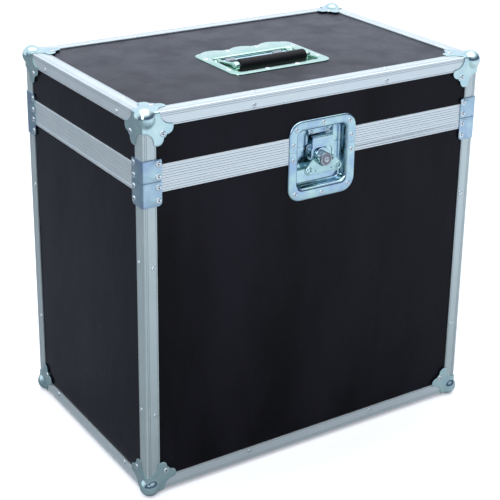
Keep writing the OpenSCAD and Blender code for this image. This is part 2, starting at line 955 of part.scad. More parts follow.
// Lip on the lid that the claw's hook comes down behind.
module latch_keeper() {
    color(zinc) in_latch(0, 0) difference() {
        translate([rotor_x, 0, 0]) {
            translate([-keeper_plate_hw, keeper_low, well_floor])
                cube([2 * keeper_plate_hw, keeper_top - keeper_low, keeper_t]);
            translate([-keeper_hw, keeper_low, well_floor + keeper_t - eps])
                cube([2 * keeper_hw, keeper_lip_t, keeper_front - well_floor - keeper_t + eps]);
            translate([-keeper_hw, keeper_low, keeper_front - keeper_lip_t])
                cube([2 * keeper_hw, keeper_lip_top - keeper_low, keeper_lip_t]);
        }
        keeper_holes();
    }
}

// Stud, eccentric and shaft in one turned piece.
module latch_rotor() {
    color("#8f979b") in_latch(rotor_x, rotor_y) difference() {
        union() {
            translate([0, 0, claw_z]) cylinder(h = stud_front - stud_chamfer - claw_z, r = stud_r);
            translate([0, 0, stud_front - stud_chamfer])
                cylinder(h = stud_chamfer, r1 = stud_r, r2 = stud_r - stud_chamfer);
            translate([0, eccentric_e, eccentric_back])
                cylinder(h = claw_z - eccentric_back + eps, r = eccentric_r);
            translate([0, 0, well_floor - dish_t - 0.1])
                cylinder(h = eccentric_back - well_floor + dish_t + 0.1 + eps, r = shaft_r);
            translate([0, 0, well_floor - dish_t - 0.1 - retainer_t])
                cylinder(h = retainer_t + eps, r = retainer_pin_r);
        }
        translate([-far, 0, wing_pivot_z]) rotate([0, 90, 0]) cylinder(h = 2 * far, r = wing_pin_r + run_gap);
    }
}

module latch_retainer() {
    z = well_floor - dish_t - 0.1 - retainer_t;
    color(zinc) in_latch(rotor_x, rotor_y) translate([0, 0, z]) difference() {
        cylinder(h = retainer_t, r = retainer_r);
        translate([0, 0, -1]) cylinder(h = retainer_t + 2, r = retainer_pin_r + run_gap);
    }
}

// Plate around the eccentric, with a hook that reaches over the keeper's lip.
module latch_claw() {
    window_x = eccentric_r + eccentric_e + 0.4;
    window_y = eccentric_r + window_slack;
    frame_x = window_x + claw_frame;
    frame_y = window_y + claw_frame;
    neck_top = hook_low + hook_t - rotor_y;
    color(zinc) in_latch(rotor_x, rotor_y) {
        translate([0, 0, claw_z - claw_t]) linear_extrude(claw_t) difference() {
            union() {
                translate([0, eccentric_e]) rounded_box(-frame_x, -frame_y, frame_x, frame_y, 7);
                rounded_box(-claw_neck_hw, 0, claw_neck_hw, neck_top, 3);
            }
            translate([0, eccentric_e]) rounded_box(-window_x, -window_y, window_x, window_y, 6);
        }
        translate([-hook_hw, hook_low - rotor_y, hook_in])
            cube([2 * hook_hw, hook_t, claw_z - claw_t / 2 - hook_in]);
    }
}

// Butterfly wing, folded down beside the stud.
module latch_wing() {
    color(zinc) in_latch(rotor_x, rotor_y) {
        translate([0, 0, wing_z - wing_t]) linear_extrude(wing_t) difference() {
            union() {
                polygon([
                    [-wing_top_x, 1], [wing_top_x, 1],
                    [wing_lobe_x + wing_lobe_r * 0.7, wing_lobe_y + wing_lobe_r * 0.7],
                    [wing_lobe_x, wing_lobe_y - wing_lobe_r], [-wing_lobe_x, wing_lobe_y - wing_lobe_r],
                    [-wing_lobe_x - wing_lobe_r * 0.7, wing_lobe_y + wing_lobe_r * 0.7]
                ]);
                for (s = [-1, 1]) translate([s * wing_lobe_x, wing_lobe_y]) circle(wing_lobe_r);
            }
            circle(wing_cut_r);
            for (s = [-1, 1]) {
                translate([s * wing_lobe_x, wing_lobe_y]) circle(lobe_hole_r);
                translate([s * wing_reach * 0.38, wing_lobe_y - 1]) circle(1.3);
            }
        }
        for (s = [-1, 1]) mirror_x(s < 0) translate([wing_ear_in, 0, 0]) difference() {
            union() {
                translate([0, 0, wing_pivot_z]) rotate([0, 90, 0]) cylinder(h = wing_ear_t, r = wing_ear_r);
                translate([0, -wing_ear_r, wing_z - wing_t])
                    cube([wing_ear_t, wing_ear_r + 1, wing_pivot_z - wing_z + wing_t]);
            }
            translate([-1, 0, wing_pivot_z]) rotate([0, 90, 0])
                cylinder(h = wing_ear_t + 2, r = wing_pin_r + run_gap);
        }
    }
}

module latch_wing_pin() {
    color(zinc) in_latch(rotor_x, rotor_y) translate([-wing_pin_l / 2, 0, wing_pivot_z])
        rotate([0, 90, 0]) cylinder(h = wing_pin_l, r = wing_pin_r);
}

module in_handle() {
    translate([0, handle_y, z_top]) children();
}

module handle_well_outline(grow) {
    x = handle_w / 2 - handle_rim_x;
    rounded_box(-x - grow, handle_front - grow, x + grow, handle_back + grow, handle_well_round + grow);
}

module handle_plate_outline(grow) {
    x = handle_w / 2 + grow;
    y = handle_d / 2 + grow;
    rounded_box(-x, -y, x, y, handle_round);
    for (b = [-bump_x, 0, bump_x]) translate([b, handle_d / 2 + bump_out - bump_r]) circle(bump_r + grow);
}

module handle_dish() {
    color(zinc) difference() {
        in_handle() {
            difference() {
                union() {
                    translate([0, 0, -panel_n]) linear_extrude(flange_t) handle_plate_outline(0);
                    translate([0, 0, -handle_depth - dish_t])
                        linear_extrude(handle_depth + dish_t - panel_n + flange_t / 2)
                        handle_well_outline(dish_t);
                }
                translate([0, 0, -handle_depth]) linear_extrude(far) handle_well_outline(0);
            }
            for (s = [-1, 1]) mirror_x(s < 0) translate([ear_in, pin_y, 0]) difference() {
                union() {
                    translate([0, 0, pin_z]) rotate([0, 90, 0]) cylinder(h = ear_t, r = ear_r);
                    translate([0, -ear_r, -handle_depth - eps])
                        cube([ear_t, 2 * ear_r, handle_depth + pin_z + eps]);
                }
                translate([-1, 0, pin_z]) rotate([0, 90, 0]) cylinder(h = ear_t + 2, r = pin_r + run_gap);
            }
        }
        rivet_holes(lid_list, [TOP]);
    }
}

module handle_pin() {
    l = 2 * (ear_in + ear_t + 0.6);
    color(zinc) in_handle() translate([-l / 2, pin_y, pin_z]) rotate([0, 90, 0]) cylinder(h = l, r = pin_r);
}

// Two coil springs on the pin, each with one end standing on the floor of the dish.
module handle_springs() {
    l = spring_pitch * (spring_turns - 1);
    color("#9aa3a8") in_handle() for (s = [-1, 1]) mirror_x(s < 0) translate([spring_x, pin_y, pin_z]) {
        rotate([0, 90, 0]) rotate_extrude()
            for (i = [0:spring_turns - 1])
                translate([spring_mean, i * spring_pitch]) circle(spring_wire, $fn = 16);
        translate([l, spring_mean, -handle_depth - pin_z])
            cylinder(h = handle_depth + pin_z, r = spring_wire, $fn = 16);
    }
}

module handle_bail() {
    reach = pin_y - grip_y;
    rise = grip_z - pin_z;
    len = sqrt(reach * reach + rise * rise);
    color(zinc) in_handle() {
        for (s = [-1, 1]) mirror_x(s < 0) translate([bail_in, 0, 0]) difference() {
            union() {
                translate([0, pin_y, pin_z]) rotate([0, 90, 0]) cylinder(h = bail_t, r = pin_eye_r);
                translate([0, grip_y, grip_z]) rotate([0, 90, 0]) cylinder(h = bail_t, r = pin_eye_r);
                translate([0, pin_y, pin_z]) rotate([180 - atan2(rise, reach), 0, 0])
                    translate([0, 0, -bail_h / 2]) cube([bail_t, len, bail_h]);
            }
            translate([-1, pin_y, pin_z]) rotate([0, 90, 0]) cylinder(h = bail_t + 2, r = pin_r + run_gap);
        }
        translate([-bail_in - eps, grip_y, grip_z]) rotate([0, 90, 0])
            cylinder(h = 2 * (bail_in + eps), r = grip_bar_r);
        for (s = [-1, 1]) mirror_x(s < 0) translate([grip_len / 2 + joint_gap, grip_y, grip_z])
            rotate([0, 90, 0]) cylinder(h = bail_in - grip_len / 2 - joint_gap + eps, r = collar_r);
    }
}

module handle_grip() {
    color(rubber) in_handle() translate([-grip_len / 2, grip_y, grip_z]) rotate([0, 90, 0]) difference() {
        cylinder(h = grip_len, r = grip_r);
        translate([0, 0, -1]) cylinder(h = grip_len + 2, r = grip_bar_r + run_gap);
    }
}

// Frame of a hinge: on its pin, behind the back wall at the seam.
module at_hinges() {
    for (s = [-1, 1]) translate([s * hinge_x, case_d / 2 + hinge_axis_out, z_seam]) children();
}

module knuckle(x0, x1) {
    translate([x0, 0, 0]) rotate([0, 90, 0]) cylinder(h = x1 - x0, r = knuckle_r);
}

// Web that rolls from the leaf's plate into a knuckle, for the upper leaf.
module knuckle_web(x0, x1) {
    y = -hinge_axis_out;
    translate([x0, 0, 0]) along_x(x1 - x0) polygon([
        [y, 0.6], [y + hinge_t, 0.6], [0, knuckle_r - 0.05], [y + hinge_t, knuckle_r + 3], [y, knuckle_r + 3]
    ]);
}

// The upper leaf's plate, left clear of the other leaf's knuckles.
module leaf_plate() {
    translate([-hinge_w / 2, -hinge_axis_out, knuckle_r + 0.6])
        cube([hinge_w, hinge_t, leaf_h - knuckle_r - 0.6]);
}

module hinge_base_leaves() {
    color(zinc) difference() {
        at_hinges() difference() {
            union() {
                mirror([0, 0, 1]) {
                    leaf_plate();
                    for (s = [-1, 1]) mirror_x(s < 0) {
                        knuckle(lid_knuckle_hw + hinge_gap, hinge_w / 2);
                        knuckle_web(lid_knuckle_hw + hinge_gap, hinge_w / 2);
                    }
                }
                translate([1 - lid_knuckle_hw, -hinge_axis_out, shelf_top - shelf_t])
                    cube([2 * lid_knuckle_hw - 2, hinge_axis_out + ear_tip * cos(ear_meet), shelf_t]);
            }
            translate([-far, 0, 0]) rotate([0, 90, 0]) cylinder(h = 2 * far, r = hinge_pin_r + run_gap);
        }
        rivet_holes(base_list, [BACK]);
    }
}

module hinge_lid_leaves() {
    color(zinc) difference() {
        at_hinges() difference() {
            union() {
                leaf_plate();
                knuckle(-lid_knuckle_hw, lid_knuckle_hw);
                knuckle_web(-lid_knuckle_hw, lid_knuckle_hw);
                rotate([open_angle - ear_meet + 1.5, 0, 0])
                    translate([1 - lid_knuckle_hw, 0, 0]) cube([2 * lid_knuckle_hw - 2, ear_tip, ear_blade]);
            }
            translate([-far, 0, 0]) rotate([0, 90, 0]) cylinder(h = 2 * far, r = hinge_pin_r + run_gap);
        }
        rivet_holes(lid_list, [BACK]);
    }
}

module hinge_pins() {
    color("#8f979b") at_hinges() {
        translate([-hinge_w / 2, 0, 0]) rotate([0, 90, 0]) cylinder(h = hinge_w, r = hinge_pin_r);
        for (x = [-hinge_w / 2 - pin_head_t - joint_gap, hinge_w / 2 + joint_gap])
            translate([x, 0, 0]) rotate([0, 90, 0]) cylinder(h = pin_head_t, r = pin_head_r);
        translate([-hinge_w / 2 - joint_gap - eps, 0, 0]) rotate([0, 90, 0])
            cylinder(h = hinge_w + 2 * (joint_gap + eps), r = hinge_pin_r);
    }
}

module pad_block(z, t) {
    translate([-case_w / 2 + pad_in + pad_gap, -case_d / 2 + pad_in + pad_gap, z])
        cube([case_w - 2 * (pad_in + pad_gap), case_d - 2 * (pad_in + pad_gap), t]);
}

module pad_corner_holes() {
    for (x = [-1, 1]) for (y = [-1, 1])
        translate([x * (case_w / 2 - leaf_rivet), y * (case_d / 2 - leaf_rivet), -1])
            cylinder(h = case_h * 2, r = pad_hole_r);
}

module floor_pad() {
    color(foam) difference() {
        pad_block(z_bot + panel_back + pad_gap, floor_pad_t);
        pad_corner_holes();
    }
}

module lid_pad() {
    color(foam) difference() {
        pad_block(z_top - panel_back - pad_gap - lid_pad_t, lid_pad_t);
        pad_corner_holes();
        in_handle() translate([0, 0, -far]) linear_extrude(far) handle_plate_outline(2);
    }
}

bottom_panel();
front_panel();
back_panel();
left_panel();
right_panel();
bottom_edge_front();
bottom_edge_back();
bottom_edge_left();
bottom_edge_right();
base_uprights();
groove_rim_front();
groove_rim_back();
groove_rim_left();
groove_rim_right();
foot_corner_front_left();
foot_corner_front_right();
foot_corner_back_left();
foot_corner_back_right();
base_braces();
latch_dish();
floor_pad();
base_rivets();
hinge_base_leaves();
hinge_pins();
top_panel();
lid_front_panel();
lid_back_panel();
lid_left_panel();
lid_right_panel();
top_edge_front();
top_edge_back();
top_edge_left();
top_edge_right();
lid_uprights();
tongue_rim_front();
tongue_rim_back();
tongue_rim_left();
tongue_rim_right();
top_corner_front_left();
top_corner_front_right();
top_corner_back_left();
top_corner_back_right();
lid_braces();
latch_lid_dish();
latch_keeper();
lid_pad();
lid_rivets();
hinge_lid_leaves();
handle_dish();
handle_pin();
handle_springs();
handle_bail();
handle_grip();
latch_rotor();
latch_retainer();
latch_claw();
latch_wing();
latch_wing_pin();
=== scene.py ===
# %% [markdown]
# # A record carrying case
# The case stands upright: dark plywood panels, ribbed aluminium edge profiles, zinc plated ball
# corners, a butterfly latch sunk into the front and a sprung handle sunk into the lid.
# The construction model gives every piece its place. This script dresses it: it keeps each piece
# where it is, rebuilds the shapes that were only simplified, and gives each one its finish.

# %% Load the construction model
import json
import math

import bmesh
import bpy
import numpy as np
from mathutils import Matrix, Vector
from mathutils.geometry import delaunay_2d_cdt

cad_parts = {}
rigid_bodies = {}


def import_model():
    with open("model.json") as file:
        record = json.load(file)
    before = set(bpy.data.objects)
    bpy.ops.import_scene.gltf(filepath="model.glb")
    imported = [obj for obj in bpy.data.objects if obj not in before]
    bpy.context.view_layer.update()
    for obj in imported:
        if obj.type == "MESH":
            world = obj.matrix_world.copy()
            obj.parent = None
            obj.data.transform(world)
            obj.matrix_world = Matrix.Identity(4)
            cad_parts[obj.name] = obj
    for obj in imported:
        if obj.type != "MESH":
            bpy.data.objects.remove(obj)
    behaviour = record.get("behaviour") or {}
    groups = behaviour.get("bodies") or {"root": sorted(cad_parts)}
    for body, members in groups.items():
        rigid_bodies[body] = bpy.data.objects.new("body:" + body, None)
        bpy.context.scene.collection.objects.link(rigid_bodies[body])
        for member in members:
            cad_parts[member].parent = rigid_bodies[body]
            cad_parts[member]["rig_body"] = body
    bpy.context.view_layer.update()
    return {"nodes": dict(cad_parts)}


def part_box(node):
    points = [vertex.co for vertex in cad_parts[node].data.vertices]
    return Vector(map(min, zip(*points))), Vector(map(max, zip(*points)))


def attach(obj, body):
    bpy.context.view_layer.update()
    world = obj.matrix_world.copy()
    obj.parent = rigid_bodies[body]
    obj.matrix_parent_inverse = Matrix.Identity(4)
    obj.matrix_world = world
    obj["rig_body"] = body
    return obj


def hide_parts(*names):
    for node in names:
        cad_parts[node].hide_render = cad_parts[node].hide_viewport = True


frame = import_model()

nodes = frame["nodes"]

# %% [markdown]
# ## The camera
# A photograph fixes its own camera: the edges of the box run to three vanishing points, and those
# give the lens and the place. It could be set by eye, but solving for it once means that every
# later difference from the photograph is a difference in the object. The frame is shifted, because
# the photograph is a crop from a wider picture.

# %% Put the camera where the photographer stood
camera_place = Vector((-0.9540, -1.4693, 1.0159))
camera_right = Vector((0.845851, -0.533322, 0.010182))
camera_up = Vector((0.174975, 0.295442, 0.939201))
camera_back = camera_right.cross(camera_up)

camera = bpy.data.objects.new("camera", bpy.data.cameras.new("camera"))
bpy.context.scene.collection.objects.link(camera)
turn = Matrix((camera_right, camera_up, camera_back)).transposed()
camera.matrix_world = Matrix.Translation(camera_place) @ turn.to_4x4()
camera.data.sensor_width = 36.0
camera.data.lens = 93.54
camera.data.shift_x = 0.0239
camera.data.shift_y = -0.1815
camera.data.clip_start = 0.05
camera.data.clip_end = 60.0
bpy.context.scene.camera = camera
bpy.context.scene.view_settings.view_transform = "Standard"
print("camera", round(camera_place.length, 3), "m from the origin")

# %% [markdown]
# ## Helpers for materials
# A material is a small tree of nodes. One function adds a node with its settings and its links, and
# one turns a hex colour, as picked on a screen, into the linear numbers that light is worked out in.

# %% Colours and nodes
MM = 0.001


def linear(hex_colour):
    """sRGB hex to linear RGBA."""
    channels = [int(hex_colour[i:i + 2], 16) / 255 for i in (1, 3, 5)]
    return [c / 12.92 if c <= 0.04045 else ((c + 0.055) / 1.055) ** 2.4 for c in channels] + [1.0]


def add(tree, kind, settings=None, values=None, links=None):
    """A node of that kind, with its own settings, values on its sockets, and links into it."""
    node = tree.nodes.new(kind)
    for name, value in (settings or {}).items():
        setattr(node, name, value)
    for name, value in (values or {}).items():
        node.inputs[name].default_value = value
    for name, source in (links or {}).items():
        tree.links.new(source, node.inputs[name])
    return node


def start_material(name, values):
    """A new material with one Principled shader, and the object's own coordinates to build on."""
    material = bpy.data.materials.new(name)
    material.use_nodes = True
    tree = material.node_tree
    tree.nodes.clear()
    shader = add(tree, "ShaderNodeBsdfPrincipled", values=values)
    add(tree, "ShaderNodeOutputMaterial", links={"Surface": shader.outputs["BSDF"]})
    place = add(tree, "ShaderNodeTexCoord").outputs["Object"]
    return material, tree, shader, place


def noise(tree, place, size_mm, detail=2.0, roughness=0.5, stretch=None):
    """A noise whose lumps are about size_mm across, or longer where stretch is below 1."""
    if stretch:
        place = add(tree, "ShaderNodeMapping", values={"Scale": stretch},
                    links={"Vector": place}).outputs["Vector"]
    values = {"Scale": 1.0 / (size_mm * MM), "Detail": detail, "Roughness": roughness}
    return add(tree, "ShaderNodeTexNoise", values=values, links={"Vector": place}).outputs["Fac"]


def spread(tree, source, low, high, out_low, out_high):
    """Takes low..high of a grey value to out_low..out_high."""
    values = {"From Min": low, "From Max": high, "To Min": out_low, "To Max": out_high}
    return add(tree, "ShaderNodeMapRange", values=values, links={"Value": source}).outputs["Result"]


def tint(tree, source, first, second):
    """Mixes two colours by a grey value; each is a hex colour or another node's output."""
    node = add(tree, "ShaderNodeMix", {"data_type": "RGBA"})
    for name, colour in (("A_Color", first), ("B_Color", second)):
        socket = next(s for s in node.inputs if s.identifier == name)
        if isinstance(colour, str):
            socket.default_value = linear(colour)
        else:
            tree.links.new(colour, socket)
    factor = next(s for s in node.inputs if s.identifier == "Factor_Float")
    tree.links.new(source, factor)
    return next(s for s in node.outputs if s.identifier == "Result_Color")


def bump(tree, shader, height, depth_mm, strength, under=None):
    """Raises the surface by a grey value: white stands depth_mm above black."""
    node = add(tree, "ShaderNodeBump", values={"Strength": strength, "Distance": depth_mm * MM},
               links={"Height": height})
    if under:
        tree.links.new(under, node.inputs["Normal"])
    tree.links.new(node.outputs["Normal"], shader.inputs["Normal"])
    return node.outputs["Normal"]


# %% [markdown]
# ## Film faced plywood
# The panels are birch plywood pressed between sheets of phenolic film. The film is nearly black with
# a cold, slightly violet cast. It is pressed against a plate, so it takes a very fine orange peel,
# and it gets faint cloudy streaks, drawn down the walls, where hands and cloths have been. It is dark
# from the front and pale only where the eye skims it and it mirrors the room, as on the lid.

# %% The panels' film
def make_film():
    material, tree, shader, place = start_material(
        "film_faced_birch_plywood", {"IOR": 1.5, "Metallic": 0.0, "Specular IOR Level": 0.10,
                                      "Sheen Weight": 0.36, "Sheen Roughness": 0.21,
                                      "Sheen Tint": linear("#a9b9ee")})
    cloud = noise(tree, place, 95, detail=4.0, roughness=0.55, stretch=(1.0, 1.0, 0.3))
    fleck = noise(tree, place, 4.0, detail=3.0)
    both = add(tree, "ShaderNodeMath", {"operation": "MULTIPLY_ADD"}, {1: 0.25},
               {0: fleck, 2: spread(tree, cloud, 0.36, 0.68, 0.0, 0.80)}).outputs["Value"]
    tree.links.new(tint(tree, both, "#020103", "#121118"), shader.inputs["Base Color"])
    wiped = noise(tree, place, 45, detail=4.0, roughness=0.65, stretch=(1.0, 1.0, 0.35))
    tree.links.new(spread(tree, wiped, 0.3, 0.7, 0.20, 0.36), shader.inputs["Roughness"])
    peel = bump(tree, shader, noise(tree, place, 1.6, detail=1.0), 0.02, 0.4)
    bump(tree, shader, noise(tree, place, 60, detail=2.0), 0.2, 0.3, under=peel)
    return material


film = make_film()
print("made", film.name)

# %% [markdown]
# ## Aluminium profiles
# The edges are pressed out of a die as long bars, so everything on them runs lengthwise: the ribs,
# and under them the finest drawing lines, which blur reflections across the bar but not along it.
# One material for each direction of bar keeps the lines true without unwrapping anything. The clear
# anodised coat scatters some light of its own, which makes the metal pale and satin from any side.
# The uprights, where hands rub, are a little duller than the level bars. The bottoms of the ribs'
# grooves get a darker grade: partly grime that no cloth reaches, and partly painted shade in
# hollows too narrow to shade themselves.

# %% Aluminium for bars along each axis
def make_aluminium(name, axis, dark, light):
    material, tree, shader, place = start_material(name + axis, {"Metallic": 0.72})
    along = {"x": (0.02, 1, 1), "y": (1, 0.02, 1), "z": (1, 1, 0.02)}[axis]
    lines = noise(tree, place, 0.9, detail=2.0, stretch=along)
    cloud = noise(tree, place, 38, detail=4.0, roughness=0.6)
    tree.links.new(tint(tree, cloud, dark, light), shader.inputs["Base Color"])
    worn = add(tree, "ShaderNodeMath", {"operation": "MULTIPLY_ADD"}, {1: 0.12},
               {0: lines, 2: spread(tree, cloud, 0.3, 0.7, 0.24, 0.32)}).outputs["Value"]
    tree.links.new(worn, shader.inputs["Roughness"])
    bump(tree, shader, lines, 0.006, 0.4)
    return material


LEVEL_BARS = ("#c8d3d3", "#d8e1e0")
UPRIGHT_BARS = ("#afbcba", "#c2cfcc")
# Darker grade for the grooves' bottoms: painted shade in the hollows, with some grime.
GROOVE_SHADE_AND_GRIME = ("#7f8a8d", "#99a4a7")
aluminium = {axis: make_aluminium("anodised_aluminium_drawn_along_", axis, *shades)
             for axis, shades in (("x", LEVEL_BARS), ("y", LEVEL_BARS), ("z", UPRIGHT_BARS))}
grooves = {axis: make_aluminium("grime_in_drawn_lines_along_", axis, *GROOVE_SHADE_AND_GRIME) for axis in "xyz"}
print("made", [m.name for m in (*aluminium.values(), *grooves.values())])

# %% [markdown]
# ## Bright zinc plate
# Corners, braces, hinges, latch and handle are pressed steel with blue passivated zinc. The plate is
# almost a mirror, but the pressed sheet under it is never flat, so reflections swim a little. The
# passivation leaves a thin film that shifts between cold blue and a trace of green and yellow.

# %% Zinc plate, in several grades
def make_zinc(name, cold, warm, low, high, swim_mm):
    """Plate between a cold and a warm tint, with a range of roughness and a height of swim."""
    material, tree, shader, place = start_material(name, {"Metallic": 1.0})
    stain = noise(tree, place, 22, detail=4.0, roughness=0.6)
    tree.links.new(tint(tree, spread(tree, stain, 0.35, 0.65, 0.0, 1.0), cold, warm),
                   shader.inputs["Base Color"])
    haze = noise(tree, place, 7, detail=5.0, roughness=0.65)
    tree.links.new(spread(tree, haze, 0.3, 0.7, low, high), shader.inputs["Roughness"])
    grain = bump(tree, shader, noise(tree, place, 0.8, detail=2.0), 0.008, 0.4)
    bump(tree, shader, noise(tree, place, 9, detail=1.0), swim_mm, 0.7, under=grain)
    return material


zinc = make_zinc("blue_passivated_zinc_on_steel", "#97aec3", "#aac6ca", 0.16, 0.28, 0.08)
bright_zinc = make_zinc("polished_zinc_on_pressed_steel", "#aecccf", "#c2dad4", 0.15, 0.25, 0.06)
latch_zinc = make_zinc("blue_passivated_zinc_on_deep_pressing", "#97b1c7", "#b0d0cb", 0.10, 0.20, 0.07)
mint_zinc = make_zinc("clear_passivated_zinc_on_thick_plate", "#a8cdc0", "#bdd9ca", 0.14, 0.26, 0.05)
wing_zinc = make_zinc("clear_passivated_zinc_on_wing", "#9dc2c4", "#b0d0cc", 0.16, 0.28, 0.04)
rivet_zinc = make_zinc("zinc_on_rivet_heads", "#d2dcde", "#e4ecea", 0.20, 0.30, 0.01)
print("made", [m.name for m in (zinc, bright_zinc, latch_zinc, mint_zinc, wing_zinc, rivet_zinc)])

# %% [markdown]
# ## Bare steel, spring wire, rubber and foam
# The latch's stud and the springs are steel that was left bare, so they are darker, and the stud
# carries fine rings from the lathe. The snapped mandrel in each rivet is darker still, partly as bare
# steel and partly as painted shade in the pit of the head. The grip is black moulded rubber, soft in
# its gloss. The linings are closed cell foam, matt, full of small pores.

# %% The remaining materials
def make_steel(name, dark, light, low, high):
    material, tree, shader, place = start_material(name, {"Metallic": 1.0})
    cloud = noise(tree, place, 5, detail=4.0, roughness=0.6)
    tree.links.new(tint(tree, cloud, dark, light), shader.inputs["Base Color"])
    tree.links.new(spread(tree, cloud, 0.3, 0.7, low, high), shader.inputs["Roughness"])
    bump(tree, shader, noise(tree, place, 0.5, detail=2.0), 0.015, 0.5)
    return material


RING_PITCH = 0.9


def make_stud():
    """Turned steel with the lathe's rings, drawn three times as coarse as real so that they show."""
    material, tree, shader, place = start_material("ringed_stud_steel", {"Metallic": 1.0})
    centred = add(tree, "ShaderNodeMapping", values={"Location": tuple(-c for c in rotor_centre)},
                  links={"Vector": place}).outputs["Vector"]
    values = {"Scale": 0.05 / (RING_PITCH * MM), "Distortion": 1.5, "Detail": 2.0}
    rings = add(tree, "ShaderNodeTexWave", {"wave_type": "RINGS", "rings_direction": "Y"}, values,
                {"Vector": centred}).outputs["Fac"]
    tree.links.new(tint(tree, rings, "#6c7178", "#b2b8bd"), shader.inputs["Base Color"])
    cloud = noise(tree, place, 3)
    tree.links.new(spread(tree, cloud, 0.3, 0.7, 0.25, 0.45), shader.inputs["Roughness"])
    bump(tree, shader, rings, 0.05, 0.7)
    return material


def make_rubber():
    material, tree, shader, place = start_material(
        "moulded_black_rubber", {"Metallic": 0.0, "IOR": 1.5, "Specular IOR Level": 0.2})
    cloud = noise(tree, place, 8, detail=4.0)
    tree.links.new(tint(tree, cloud, "#050507", "#0c0c10"), shader.inputs["Base Color"])
    tree.links.new(spread(tree, cloud, 0.3, 0.7, 0.38, 0.5), shader.inputs["Roughness"])
    bump(tree, shader, noise(tree, place, 0.6, detail=2.0), 0.02, 0.5)
    return material


def make_foam():
    material, tree, shader, place = start_material(
        "closed_cell_grey_foam", {"Metallic": 0.0, "IOR": 1.4, "Sheen Weight": 0.2})
    cells = add(tree, "ShaderNodeTexVoronoi", values={"Scale": 1.0 / (1.4 * MM)},
                links={"Vector": place}).outputs["Distance"]
    cloud = noise(tree, place, 30, detail=3.0)
    shade = add(tree, "ShaderNodeMath", {"operation": "MULTIPLY_ADD"}, {1: 0.5},
                {0: cloud, 2: spread(tree, cells, 0.0, 0.7, 0.0, 0.5)}).outputs["Value"]
    tree.links.new(tint(tree, shade, "#26282b", "#474a4e"), shader.inputs["Base Color"])
    tree.links.new(spread(tree, cells, 0.0, 0.7, 0.98, 0.85), shader.inputs["Roughness"])
    bump(tree, shader, cells, 0.35, 0.6)
    return material


bare_steel = make_steel("turned_bare_steel", "#80868d", "#aab0b6", 0.22, 0.36)
# This steel's darkness is partly painted shade for the pit in each rivet head; the wing pin uses it too.
dark_steel = make_steel("snapped_mandrel_steel", "#4a4d52", "#6a6e74", 0.35, 0.5)
rotor_centre = [(a + b) / 2 for a, b in zip(*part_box("latch_wing_pin"))]
stud_steel = make_stud()
rubber = make_rubber()
foam = make_foam()
print("made", bare_steel.name, dark_steel.name, rubber.name, foam.name)

# %% [markdown]
# ## Helpers for meshes
# Most pieces are thin sheet, plate or turned metal, so three ways of making a mesh cover nearly
# all of them: a flat outline filled with triangles and then bent or given a thickness, a stack of
# rings joined into a dish, and a profile turned round an axis. Each works in millimetres in the
# piece's own frame, and a matrix takes the result to its place. The few shapes that the construction
# model already has right are copied from it with softened edges.

# %% Finish a piece and hand it to its body
BODY_OF = {name: ob["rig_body"] for name, ob in nodes.items()}
made = []


def hand_over(ob, node, material=None):
    """Gives a finished piece its material and its body, and hides the construction node that it stands
    for.
    """
    if material:
        ob.data.materials.clear()
        ob.data.materials.append(material)
    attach(ob, BODY_OF[node])
    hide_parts(node)
    made.append(ob.name)
    return ob


def new_object(name, mesh):
    ob = bpy.data.objects.new(name, mesh)
    bpy.context.scene.collection.objects.link(ob)
    return ob


def from_bmesh(name, bm):
    mesh = bpy.data.meshes.new(name)
    bm.to_mesh(mesh)
    bm.free()
    return new_object(name, mesh)


def settle(ob, sharp):
    """Applies the modifiers, smooths the shading except over sharp edges, and leaves a plain mesh."""
    bpy.context.view_layer.update()
    graph = bpy.context.evaluated_depsgraph_get()
    mesh = bpy.data.meshes.new_from_object(ob.evaluated_get(graph))
    ob.modifiers.clear()
    old = ob.data
    ob.data = mesh
    mesh.name = ob.name
    bpy.data.meshes.remove(old)
    mesh.shade_smooth()
    mesh.set_sharp_from_angle(angle=math.radians(sharp))
    return ob


# %% Add a shape in millimetres to a mesh, through a matrix
# ALONG_X stands a plate or a turned shape on its side, with its own z along the case's x.
ALONG_X = Matrix(((0, 0, 1, 0), (1, 0, 0, 0), (0, 1, 0, 0), (0, 0, 0, 1)))


def at(x, y, z, columns=((1, 0, 0), (0, 1, 0), (0, 0, 1))):
    """A matrix from a local frame in millimetres to a place given in metres."""
    turn = Matrix(columns).transposed().to_4x4()
    return Matrix.Translation((x, y, z)) @ turn @ Matrix.Scale(MM, 4)


def put(bm, points, faces, place):
    """Adds points in millimetres and their faces, and turns the faces over where the matrix mirrors."""
    verts = [bm.verts.new(place @ Vector(p)) for p in points]
    mirrored = place.determinant() < 0
    for face in faces:
        corners = [verts[i] for i in (reversed(face) if mirrored else face)]
        bm.faces.new(corners)
    return verts


def turned(bm, profile, place, steps):
    """A profile of (radius, height) pairs turned round z; a radius of 0 closes it in a point."""
    points, rings = [], []
    for radius, height in profile:
        first = len(points)
        if radius == 0:
            points.append((0, 0, height))
            rings.append([first] * steps)
        else:
            points += [(radius * math.cos(2 * math.pi * i / steps),
                        radius * math.sin(2 * math.pi * i / steps), height) for i in range(steps)]
            rings.append([first + i for i in range(steps)])
    faces = []
    for low, high in zip(rings, rings[1:]):
        for i in range(steps):
            j = (i + 1) % steps
            corners = [low[i], low[j], high[j], high[i]]
            faces.append([c for k, c in enumerate(corners) if c not in corners[:k]])
    put(bm, points, faces, place)


# %% Outlines: arcs, crossings and fills
def arc(centre, radius, start, end, steps):
    """Points of an arc, from one angle to another in degrees."""
    turns = [math.radians(start + (end - start) * i / steps) for i in range(steps + 1)]
    return [(centre[0] + radius * math.cos(a), centre[1] + radius * math.sin(a)) for a in turns]


def crossing(first, r0, second, r1, side):
    """Where two circles cross, on the left (1) or the right (-1) of the line from first to second."""
    a, b = Vector(first), Vector(second)
    span = (b - a).length
    along = (r0 * r0 - r1 * r1 + span * span) / (2 * span)
    step = (b - a) / span
    off = math.sqrt(r0 * r0 - along * along)
    return a + step * along + Vector((-step.y, step.x)) * off * side


def angle_of(centre, point):
    return math.degrees(math.atan2(point[1] - centre[1], point[0] - centre[0]))


